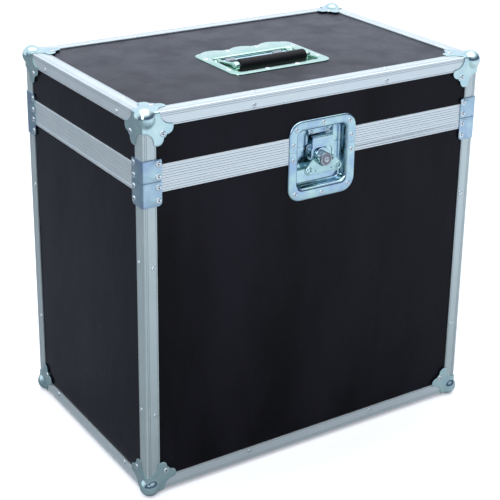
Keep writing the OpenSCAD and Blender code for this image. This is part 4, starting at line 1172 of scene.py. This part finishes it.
# %% Solid parts in the latch's frame
def section_bar(bm, section, x0, x1, place):
    """A closed section in y and z, run along x with flat ends."""
    count = len(section)
    points = [(x0, y, z) for y, z in section] + [(x1, y, z) for y, z in section]
    faces = [[i, (i + 1) % count, count + (i + 1) % count, count + i] for i in range(count)]
    faces += [list(range(count))[::-1], list(range(count, 2 * count))]
    part = bmesh.new()
    put(part, points, faces, place)
    ends = [f for f in part.faces if len(f.verts) > 4]
    bmesh.ops.triangulate(part, faces=ends, ngon_method="EAR_CLIP")
    bmesh.ops.recalc_face_normals(part, faces=part.faces)
    mesh = bpy.data.meshes.new("section")
    part.to_mesh(mesh)
    part.free()
    bm.from_mesh(mesh)
    bpy.data.meshes.remove(mesh)


def finish_solid(name, bm, node, metal, sharp=35):
    bmesh.ops.remove_doubles(bm, verts=bm.verts, dist=0.001 * MM)
    bmesh.ops.recalc_face_normals(bm, faces=bm.faces)
    ob = from_bmesh(name, bm)
    ob.data.shade_smooth()
    ob.data.set_sharp_from_angle(angle=math.radians(sharp))
    return hand_over(ob, node, metal)


# %% [markdown]
# ### Claw and keeper
# The claw is a plate with a window for the eccentric and a rolled hook at its top. The window and
# the outline are drawn as arcs and filled; the hook is a bent strip that carries on from the plate.

# %% Claw
CLAW_FRONT = -2.9
CLAW_T = 1.5
THROW = 3.0
WINDOW = (14.4, 11.95)
FRAME = (18.4, 15.95)
NECK = 17.0
SHOULDER_R = 7
HOOK_HALF = 16.0
HOOK_BEND = 2.2
HOOK_TIP = -7.7


def claw():
    bm = bmesh.new()
    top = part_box("latch_claw")[1][2] / MM - z_seam / MM - rotor_y
    bend_y = top - HOOK_BEND
    shoulder = math.degrees(math.acos((NECK - FRAME[0] + SHOULDER_R) / SHOULDER_R))
    right = arc((FRAME[0] - SHOULDER_R, THROW - FRAME[1] + SHOULDER_R), SHOULDER_R, 270, 360, 7)
    right += arc((FRAME[0] - SHOULDER_R, THROW + FRAME[1] - SHOULDER_R), SHOULDER_R, 0, shoulder, 3)
    right += [(NECK, bend_y - 2.4)] + arc((NECK - 1.5, bend_y - 1.2), 1.5, 0, 90, 4)[1:]
    outline = right + [(-x, y) for x, y in reversed(right)]
    window = rounded_loop(-WINDOW[0], THROW - WINDOW[1], WINDOW[0], THROW + WINDOW[1], 6, 6, 6)
    plate(bm, [outline, window], CLAW_FRONT - CLAW_T, CLAW_FRONT, 0.35, rotor_frame)
    middle = (bend_y, CLAW_FRONT - HOOK_BEND)
    strip = [(bend_y - 1.6, CLAW_FRONT + 0.02)] + arc(middle, HOOK_BEND, 90, 0, 6)
    strip += [(top, HOOK_TIP), (top - CLAW_T, HOOK_TIP)]
    strip += arc(middle, HOOK_BEND - CLAW_T, 0, 90, 3)
    strip += [(bend_y - 1.6, CLAW_FRONT - CLAW_T - 0.02)]
    section_bar(bm, strip, -HOOK_HALF, HOOK_HALF, rotor_frame)
    return finish_solid("latch_claw_finished", bm, "latch_claw", latch_zinc)


claw()

# %% [markdown]
# ### Wing
# The wing is a plate cut round the stud, with two lobes for the fingers. Each lobe has an eyelet, and
# two small ears hold the pivot pin. Drawing it from circles and their tangents keeps it true.

# %% Butterfly wing
WING_T = 2.0
WING_FRONT = -0.3
PIVOT_Z = 2.5
STUD_R = 9.0


def touch(point, middle, radius, side):
    """Where a line from a point touches a circle, as an angle round the circle."""
    away = Vector(point) - Vector(middle)
    return math.degrees(math.atan2(away.y, away.x) + side * math.acos(radius / away.length))


def wing():
    low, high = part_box("latch_wing")
    half = (high[0] - low[0]) / 2 / MM
    reach = (low[2] - z_seam) / MM - rotor_y
    lobe_r = 6.4
    lobe = (half - lobe_r, reach + lobe_r)
    shoulder = (lobe[0] - 5.5, 1.0)
    round_r = 2.2
    neck = (shoulder[0] - 1.2, shoulder[1] - round_r)
    cut_r = STUD_R + 1.3
    edge = math.degrees(math.asin(1.0 / cut_r))
    side = touch(neck, lobe, lobe_r - round_r, -1)
    right = [(lobe[0] - 8.0, reach + 0.35)] + arc(lobe, lobe_r, -90, side, 14)
    right += arc(neck, round_r, side, 90, 6)
    notch = arc((0, 0), cut_r, edge, edge - 90 - edge, 18)
    half_loop = right + notch
    outline = half_loop + [(-x, y) for x, y in reversed(half_loop[:-1])]
    holes = [arc((s * lobe[0], lobe[1]), 3.2, 0, 360, 24)[:-1] for s in (-1, 1)]
    holes += [arc((s * half * 0.43, lobe[1] - 1), 1.3, 0, 360, 12)[:-1] for s in (-1, 1)]
    bm = bmesh.new()
    plate(bm, [outline] + holes, WING_FRONT - WING_T, WING_FRONT, 0.45, rotor_frame)
    back = WING_FRONT - WING_T
    eyelet = [(3.15, back + 0.2), (3.15, 0.1), (3.45, 0.5), (4.1, 0.62), (4.8, 0.35), (5.4, -0.35),
              (5.4, WING_FRONT - 0.6), (3.15, back + 0.2)]
    ear_in, ear_t, ear_r = STUD_R + 1.4, 2.0, 3.3
    low_y = math.degrees(math.acos(1.0 / ear_r))
    ear = [(-ear_r, back + 0.3), (1.0, back + 0.3)] + arc((0, PIVOT_Z), ear_r, -low_y, 180, 18)
    pin_hole = arc((0, PIVOT_Z), 1.55, 0, 360, 16)[:-1]
    for s in (-1, 1):
        turned(bm, eyelet, rotor_frame @ Matrix.Translation((s * lobe[0], lobe[1], 0)), 32)
        x0 = ear_in if s > 0 else -ear_in - ear_t
        plate(bm, [ear, pin_hole], x0, x0 + ear_t, 0.35, rotor_frame @ ALONG_X)
    return finish_solid("latch_wing_finished", bm, "latch_wing", wing_zinc)


wing()


# %% Rotor, retainer and pin
def rotor():
    bm = bmesh.new()
    stud = [(0, -3.0), (STUD_R - 0.3, -3.0), (STUD_R, -2.7), (STUD_R, 5.3), (8.7, 5.95), (8.0, 6.35),
            (7.2, 6.5), (6.5, 6.5), (6.3, 6.2), (5.9, 6.2), (5.7, 6.5), (3.3, 6.42), (3.0, 6.05),
            (1.5, 5.95), (0, 6.1)]
    turned(bm, stud, rotor_frame, 64)
    disc = [(0, -8.1), (10.6, -8.1), (11.0, -7.7), (11.0, -3.3), (10.6, -2.9), (0, -2.9)]
    turned(bm, disc, rotor_frame @ Matrix.Translation((0, THROW, 0)), 64)
    shaft = [(0, -15.3), (2.7, -15.3), (3.0, -15.0), (3.0, -13.8), (4.0, -13.8), (4.0, -8.0), (0, -8.0)]
    turned(bm, shaft, rotor_frame, 40)
    ob = finish_solid("latch_rotor_finished", bm, "latch_rotor", stud_steel)
    ob.data.materials.append(latch_zinc)
    plane = rotor_frame.inverted()
    for face in ob.data.polygons:
        if (plane @ face.center).z < CLAW_FRONT + 0.5:
            face.material_index = 1
    return ob


def retainer():
    bm = bmesh.new()
    washer = [(3.05, -15.3), (6.8, -15.3), (7.0, -15.1), (7.0, -14.0), (6.8, -13.8), (3.05, -13.8)]
    turned(bm, washer + washer[:1], rotor_frame, 40)
    return finish_solid("latch_retainer_finished", bm, "latch_retainer", zinc)


rotor()
retainer()


# %% A turned pin along x between two places in metres
def pin(node, radius, metal, chamfer=0.5):
    low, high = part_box(node)
    length = (high[0] - low[0]) / MM
    along_x = ((0, 1, 0), (0, 0, 1), (1, 0, 0))
    bm = bmesh.new()
    ends = [(0, 0), (radius - chamfer, 0), (radius, chamfer), (radius, length - chamfer),
            (radius - chamfer, length), (0, length)]
    turned(bm, ends, at(low[0], (low[1] + high[1]) / 2, (low[2] + high[2]) / 2, along_x), 32)
    return finish_solid(node + "_finished", bm, node, metal)


pin("latch_wing_pin", 1.5, dark_steel, 0.3)
softened("latch_keeper", 0.3, latch_zinc)

# %% [markdown]
# ## Handle
# The handle's plate lies on the lid, with a scalloped back edge, and its dish sinks through the top
# panel. The bail turns on a pin between two ears and is held down by two springs wound round it.

# %% Handle dish
handle_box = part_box("handle_dish")
HANDLE_D = 115.0
BULGE_R = 25.0
BULGE_OUT = 7.0
BULGE_FROM_END = 31.0
handle_half = handle_box[1][0] / MM
handle_y = handle_box[0][1] + HANDLE_D / 2 * MM
handle_frame = at(0, handle_y, z_top)
RIM_X = 13.0
FRONT_RIM = 12.5
BACK_RIM = 29.0
PLATE_UP = -0.1
DISH_FLOOR = -13.0
handle_outer = (-handle_half, -HANDLE_D / 2, handle_half, HANDLE_D / 2, 14.0)
handle_well = (RIM_X - handle_half, FRONT_RIM - HANDLE_D / 2,
               handle_half - RIM_X, HANDLE_D / 2 - BACK_RIM, 8.0)
handle_profile = [(0, -1.6), (0, -0.9)] + arc((0.8, -0.9), 0.8, 180, 90, 3)[1:]
handle_profile += [(1.6, PLATE_UP), (2.6, PLATE_UP + 0.3), (RIM_X - 2.8, PLATE_UP + 0.3)]
handle_profile += arc((RIM_X - 2.8, PLATE_UP - 2.5), 2.8, 90, 0, 6)[1:]
handle_profile += [(RIM_X, -6.0), (RIM_X, DISH_FLOOR + 3.5)]
handle_floor = arc((3.5, DISH_FLOOR + 3.5), 3.5, 180, 270, 6)[1:]


def bulge(x):
    """How far the plate's back edge swells out at x, in three shallow arcs."""
    offsets = [x - i * (handle_half - BULGE_FROM_END) for i in (-1, 0, 1)]
    swell = [math.sqrt(BULGE_R ** 2 - d ** 2) - BULGE_R + BULGE_OUT
             for d in offsets if abs(d) < BULGE_R]
    return max([0.0] + swell)


PIN_R = 3.0
pin_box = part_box("handle_pin")
pin_y = ((pin_box[0][1] + pin_box[1][1]) / 2 - handle_y) / MM
pin_z = ((pin_box[0][2] + pin_box[1][2]) / 2 - z_top) / MM
EAR_IN = 61.0
EAR_T = 2.5
EAR_R = 5.0


def ears(bm):
    loop = [(pin_y - EAR_R, DISH_FLOOR - 0.3), (pin_y + EAR_R, DISH_FLOOR - 0.3)]
    loop += arc((pin_y, pin_z), EAR_R, 0, 180, 20)
    hole = arc((pin_y, pin_z), PIN_R + 0.05, 0, 360, 28)[:-1]
    for x0 in (EAR_IN, -EAR_IN - EAR_T):
        plate(bm, [loop, hole], x0, x0 + EAR_T, 0.4, ALONG_X)


handle_sheet = dish(handle_outer, handle_well, RIM_X, handle_profile, handle_floor,
                    (24, 16, 96, 16), bulge=bulge)
handle_dish = sheet_metal("handle_dish_finished", handle_sheet, handle_frame, SHEET, [ears])
hand_over(handle_dish, "handle_dish", mint_zinc)
pin("handle_pin", PIN_R, zinc)
print("handle plate", round(2 * handle_half, 1), "by", HANDLE_D, "mm")
print("its pin at", round(pin_y, 2), round(pin_z, 2))

# %% [markdown]
# ### Springs
# Each spring is a wire that follows a rule, a helix round the pin and a straight leg at its end, so
# Geometry Nodes draw it: a spiral curve and a leg, both swept by the wire's round section. The tree
# has the coil's radius, turns and length as inputs, so another spring would be a change of numbers.

# %% A coil spring from a tree
WIRE_R = 0.6
SPRING_LENGTH = 14.9
spring_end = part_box("handle_springs")[1][0] / MM


def spring_tree():
    tree, ids = new_tree("wind_spring", {
        "Coil radius": "Float", "Wire radius": "Float", "Turns": "Float", "Length": "Float",
        "Foot": "Float", "Metal": "Material"})
    source = add(tree, "NodeGroupInput").outputs
    coil = add(tree, "GeometryNodeCurveSpiral", values={"Resolution": 20},
               links={"Rotations": source["Turns"], "Start Radius": source["Coil radius"],
                      "End Radius": source["Coil radius"], "Height": source["Length"]}).outputs["Curve"]
    heel = add(tree, "ShaderNodeCombineXYZ", links={"X": source["Coil radius"]}).outputs["Vector"]
    toe = add(tree, "ShaderNodeCombineXYZ",
              links={"X": source["Coil radius"], "Y": source["Foot"]}).outputs["Vector"]
    leg = add(tree, "GeometryNodeCurvePrimitiveLine",
              links={"Start": heel, "End": toe}).outputs["Curve"]
    wires = add(tree, "GeometryNodeJoinGeometry")
    tree.links.new(coil, wires.inputs["Geometry"])
    tree.links.new(leg, wires.inputs["Geometry"])
    section = add(tree, "GeometryNodeCurvePrimitiveCircle", values={"Resolution": 10},
                  links={"Radius": source["Wire radius"]}).outputs["Curve"]
    swept = add(tree, "GeometryNodeCurveToMesh", values={"Fill Caps": True},
                links={"Curve": wires.outputs["Geometry"], "Profile Curve": section}).outputs["Mesh"]
    add(tree, "NodeGroupOutput", links={"Geometry": realised(tree, swept, source["Metal"])})
    return tree, ids


def handle_springs():
    """Winds one spring with the tree and sets it at both ends of the pin, mirrored."""
    tree, ids = spring_tree()
    ob = new_object("handle_springs_finished", bpy.data.meshes.new("spring_seed"))
    run_tree(ob, tree, ids, {
        "Coil radius": (PIN_R + 0.25 + WIRE_R) * MM, "Wire radius": WIRE_R * MM, "Turns": 13.0,
        "Length": SPRING_LENGTH * MM, "Foot": (DISH_FLOOR - pin_z) * MM, "Metal": bare_steel})
    inner = spring_end - WIRE_R - SPRING_LENGTH
    bm = bmesh.new()
    for side in (1, -1):
        turn = Matrix(((0, side, 0), (0, 0, 1), (side, 0, 0))).transposed().to_4x4()
        start = Matrix.Translation((side * inner * MM, handle_y + pin_y * MM, z_top + pin_z * MM))
        one = ob.data.copy()
        one.transform(start @ turn)
        bm.from_mesh(one)
        bpy.data.meshes.remove(one)
    bmesh.ops.recalc_face_normals(bm, faces=bm.faces)
    bm.to_mesh(ob.data)
    bm.free()
    ob.data.shade_smooth()
    bpy.data.node_groups.remove(tree)
    return hand_over(ob, "handle_springs", bare_steel)


print(handle_springs().name, "wound")


# %% [markdown]
# ### Bail and grip
# The bail's arms are thick plates with round eyes, and their free ends swell into the sleeves that
# the black grip is pushed over. The grip is a moulded tube with soft ends.

# %% Bail and grip
grip_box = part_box("handle_grip")
GRIP_R = (grip_box[1][2] - grip_box[0][2]) / 2 / MM
grip_half = grip_box[1][0] / MM
grip_y = ((grip_box[0][1] + grip_box[1][1]) / 2 - handle_y) / MM
grip_z = ((grip_box[0][2] + grip_box[1][2]) / 2 - z_top) / MM
BAIL_T = 4.0
EYE_R = 5.5
BAR_R = 3.95
ARM_HALF = 3.9
ARM_FROM_EYE = 14
grip_axis = handle_frame @ Matrix.Translation((0, grip_y, grip_z)) @ ALONG_X


def bail():
    bm = bmesh.new()
    x0 = grip_half + 1.5
    x1 = x0 + BAIL_T
    eye, end = Vector((pin_y, pin_z)), Vector((grip_y, grip_z))
    lean = math.degrees(math.atan2(end.y - eye.y, end.x - eye.x))
    step = (end - eye).normalized()
    along, across = step * ARM_FROM_EYE, Vector((-step.y, step.x)) * ARM_HALF
    loop = arc(eye, EYE_R, lean + 65, lean + 295, 24)
    loop += [tuple(eye + along - across), tuple(end - along - across)]
    loop += arc(end, EYE_R, lean - 115, lean + 115, 24)
    loop += [tuple(end - along + across), tuple(eye + along + across)]
    hole = arc(eye, PIN_R + 0.05, 0, 360, 28)[:-1]
    sleeve = [(0, grip_half + 0.1), (6.0, grip_half + 0.1), (6.1, grip_half + 1.0), (6.1, x1 - 0.5),
              (5.7, x1 + 1.4), (4.6, x1 + 2.5), (2.6, x1 + 3.1), (0, x1 + 3.3)]
    for s in (-1, 1):
        low = x0 if s > 0 else -x1
        plate(bm, [loop, hole], low, low + BAIL_T, 1.3, handle_frame @ ALONG_X)
        turned(bm, sleeve if s > 0 else [(r, -x) for r, x in reversed(sleeve)], grip_axis, 40)
    bar_end = grip_half + 0.5
    turned(bm, [(0, -bar_end), (BAR_R, -bar_end), (BAR_R, bar_end), (0, bar_end)], grip_axis, 24)
    return finish_solid("handle_bail_finished", bm, "handle_bail", mint_zinc)


def grip():
    bm = bmesh.new()
    tube = [(BAR_R + 0.1, -grip_half), (GRIP_R - 1.8, -grip_half), (GRIP_R - 0.6, 0.5 - grip_half),
            (GRIP_R, 1.9 - grip_half)]
    steps = 12
    middle = [(GRIP_R - 0.12 * math.sin(math.pi * i / steps), (grip_half - 4) * (2 * i / steps - 1))
              for i in range(steps + 1)]
    profile = tube + middle + [(r, -x) for r, x in reversed(tube)] + tube[:1]
    turned(bm, profile, grip_axis, 48)
    return finish_solid("handle_grip_finished", bm, "handle_grip", rubber)


bail()
grip()
print("grip", round(2 * grip_half, 1), "mm long,", round(2 * GRIP_R, 1), "mm thick")

# %% [markdown]
# ## Hinges
# The hinges at the back keep the construction model's shape: two leaves with rolled knuckles on a
# pin. They only get broken edges.

# %% Hinges
for name, size, metal in [("hinge_base_leaves", 0.25, zinc), ("hinge_lid_leaves", 0.25, zinc),
                          ("hinge_pins", 0.3, bare_steel)]:
    softened(name, size, metal)
print(len(made), "pieces so far")

# %% [markdown]
# ## Foam pads
# The linings are slabs of closed cell foam cut with a knife: flat, but never quite, with edges that
# the cut has rounded a little and a face that sinks and swells by half a millimetre. The face is
# laid out as a grid with the outline and the holes in it, bent by a seeded unevenness, and the
# sides are drawn down from its rim.

# %% A slab with an uneven face
EDGE_ROUND = 2.5
GRID = 9.0
UNEVEN = 0.35
rng = np.random.default_rng(11)
waves = [(rng.uniform(0.006, 0.03, 2), rng.uniform(0, 2 * math.pi)) for _ in range(9)]


def uneven(x, y):
    """A seeded height between about -1 and 1."""
    return sum(math.sin(x * k[0] * 2 + y * k[1] * 2 + phase) for k, phase in waves) / len(waves)


def slab(node, holes, face_up):
    """A pad with its rounded, uneven face up or down and its sides cut straight."""
    low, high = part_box(node)
    half_x, half_y = high[0] / MM, high[1] / MM
    outline = outline_points(half_x, half_y)
    grid = [(x, y) for x in np.arange(-half_x + 1, half_x, GRID)
            for y in np.arange(-half_y + 1, half_y, GRID)]
    for step in (0.5, 1.3, EDGE_ROUND):
        grid += outline_points(half_x - step, half_y - step)
        grid += [p for hole in holes for p in grown(hole, step)]
    loops = [outline] + holes
    clear = inside(grid, outline)
    for hole in holes:
        clear &= ~inside(grid, hole)
    near = np.min([distance(grid, loop) for loop in loops], axis=0)
    grid = [p for p, ok, d in zip(grid, clear, near) if ok and d > 0.3]
    flat, faces = filled(outline, holes, grid)
    near = np.minimum(np.min([distance(flat, loop) for loop in loops], axis=0), EDGE_ROUND)
    drop = EDGE_ROUND - np.sqrt(np.maximum(EDGE_ROUND ** 2 - (EDGE_ROUND - near) ** 2, 0))
    thick = (high[2] - low[2]) / MM
    heights = [thick - UNEVEN + UNEVEN * uneven(x, y) * min(d / EDGE_ROUND, 1) - 0.7 * e
               for (x, y), d, e in zip(flat, near, drop)]
    count = len(flat)
    points = [(x, y, h) for (x, y), h in zip(flat, heights)] + [(x, y, 0) for x, y in flat]
    sides = dict.fromkeys(pair for face in faces for pair in zip(face, face[1:] + face[:1]))
    walls = [[b, a, count + a, count + b] for a, b in sides if (b, a) not in sides]
    bottom = [[count + i for i in reversed(f)] for f in faces]
    bm = bmesh.new()
    up, foot = (1, low[2]) if face_up else (-1, high[2])
    put(bm, points, faces + walls + bottom, at(0, 0, foot, ((1, 0, 0), (0, 1, 0), (0, 0, up))))
    ob = finish_solid(node + "_finished", bm, node, foam, 50)
    return ob


def outline_points(half_x, half_y):
    """Points round a rectangle, about a grid step apart."""
    ends = [(-half_x, -half_y), (half_x, -half_y), (half_x, half_y), (-half_x, half_y)]
    points = []
    for (ax, ay), (bx, by) in zip(ends, ends[1:] + ends[:1]):
        count = max(int(math.hypot(bx - ax, by - ay) / GRID), 1)
        points += [(ax + (bx - ax) * i / count, ay + (by - ay) * i / count) for i in range(count)]
    return points


def grown(loop, step):
    """The loop's points moved outwards, away from what it encloses."""
    out = []
    for before, here, after in zip(loop[-1:] + loop[:-1], loop, loop[1:] + loop[:1]):
        along = Vector(after) - Vector(before)
        off = Vector((along.y, -along.x)).normalized() * step
        out.append((here[0] + off.x, here[1] + off.y))
    return out


RIVET_IN = 28.0
corner_holes = [arc((sx * (half_w / MM - RIVET_IN), sy * (half_d / MM - RIVET_IN)), 5.0, 0, 360, 20)[:-1]
                for sx in (-1, 1) for sy in (-1, 1)]
grow = 2.0
room = (-handle_half - grow, -HANDLE_D / 2 - grow, handle_half + grow, HANDLE_D / 2 + grow, 14.0)
handle_room = [(x, y + handle_y / MM) for x, y, _ in dish_ring(room, room, 0, 0, (12, 8, 48, 8), bulge)]
slab("floor_pad", corner_holes, True)
slab("lid_pad", corner_holes + [handle_room], False)
print("pads done,", len(made), "pieces")

# %% [markdown]
# ## The studio
# A plain pale floor and soft light, as in a white tent: a broad source overhead, a brighter wall
# behind, which the lid mirrors, and a darker room behind the photographer, which gives the bright
# metal its blue shadows. The floor and the backdrop show a little lighter than they light, as an
# overexposed sweep does; that is staging, and nothing on the case does it.

# %% Floor
floor_mesh = bpy.data.meshes.new("studio_floor")
reach = 12.0
floor_mesh.from_pydata([(-reach, -reach, 0), (reach, -reach, 0), (reach, reach, 0), (-reach, reach, 0)],
                       [], [(0, 1, 2, 3)])
floor = new_object("studio_floor", floor_mesh)
floor_material, floor_tree, floor_shader, floor_place = start_material(
    "white_studio_paper", {"Roughness": 0.9, "Specular IOR Level": 0.1})
spot = add(floor_tree, "ShaderNodeSeparateXYZ", links={"Vector": floor_place}).outputs
across = add(floor_tree, "ShaderNodeMath", {"operation": "SUBTRACT"},
             links={0: spot["X"], 1: spot["Y"]}).outputs["Value"]
# Only for glossy rays, the floor is painted darker near the case and towards the left and the back:
# painted shade on the floor, seen only in the metal's reflections.
ramp = spread(floor_tree, across, -0.4, 1.9, 0.0, 1.0)
mirrored = tint(floor_tree, ramp, "#858b90", "#e9edf2")
ray = add(floor_tree, "ShaderNodeLightPath").outputs
paper = tint(floor_tree, ray["Is Glossy Ray"], "#e2e3e6", mirrored)
floor_tree.links.new(paper, floor_shader.inputs["Base Color"])
lift = add(floor_tree, "ShaderNodeMath", {"operation": "MULTIPLY"}, {1: 0.30},
           {0: ray["Is Camera Ray"]}).outputs["Value"]
floor_tree.links.new(lift, floor_shader.inputs["Emission Strength"])
floor_shader.inputs["Emission Color"].default_value = (1, 1, 1, 1)
floor_mesh.materials.append(floor_material)


# %% World
def make_room():
    world = bpy.data.worlds.new("studio_room")
    bpy.context.scene.world = world
    world.use_nodes = True
    tree = world.node_tree
    tree.nodes.clear()
    way = add(tree, "ShaderNodeTexCoord").outputs["Generated"]
    parts = add(tree, "ShaderNodeSeparateXYZ", links={"Vector": way}).outputs
    behind = add(tree, "ShaderNodeMapRange", {"interpolation_type": "SMOOTHSTEP"},
                 {"From Min": -0.25, "From Max": 0.55}, {"Value": parts["Y"]}).outputs["Result"]
    above = add(tree, "ShaderNodeMapRange", {"interpolation_type": "SMOOTHSTEP"},
                {"From Min": 0.25, "From Max": 0.8}, {"Value": parts["Z"]}).outputs["Result"]
    wall = tint(tree, behind, "#3e4863", "#e4ebfb")
    room = tint(tree, above, wall, "#eceffb")
    lit = add(tree, "ShaderNodeBackground", values={"Strength": 1.4}, links={"Color": room})
    shown = add(tree, "ShaderNodeBackground", values={"Color": (1, 1, 1, 1), "Strength": 1.0})
    path = add(tree, "ShaderNodeLightPath").outputs["Is Camera Ray"]
    both = add(tree, "ShaderNodeMixShader", links={"Fac": path})
    tree.links.new(lit.outputs["Background"], both.inputs[1])
    tree.links.new(shown.outputs["Background"], both.inputs[2])
    add(tree, "ShaderNodeOutputWorld", links={"Surface": both.outputs["Shader"]})


make_room()


# %% Lamps
def softbox(name, place, aim, width, height, watts):
    lamp = bpy.data.lights.new(name, "AREA")
    lamp.shape = "RECTANGLE"
    lamp.size = width
    lamp.size_y = height
    lamp.energy = watts
    ob = bpy.data.objects.new(name, lamp)
    bpy.context.scene.collection.objects.link(ob)
    ob.location = place
    ob.rotation_euler = (Vector(aim) - Vector(place)).to_track_quat("-Z", "Y").to_euler()
    return ob


softbox("overhead", (-0.1, -0.3, 2.6), (0, 0, 0.3), 3.2, 3.2, 42)
softbox("key_left", (-1.9, -1.9, 1.5), (0, 0, 0.3), 0.9, 1.4, 16)
print("studio ready")
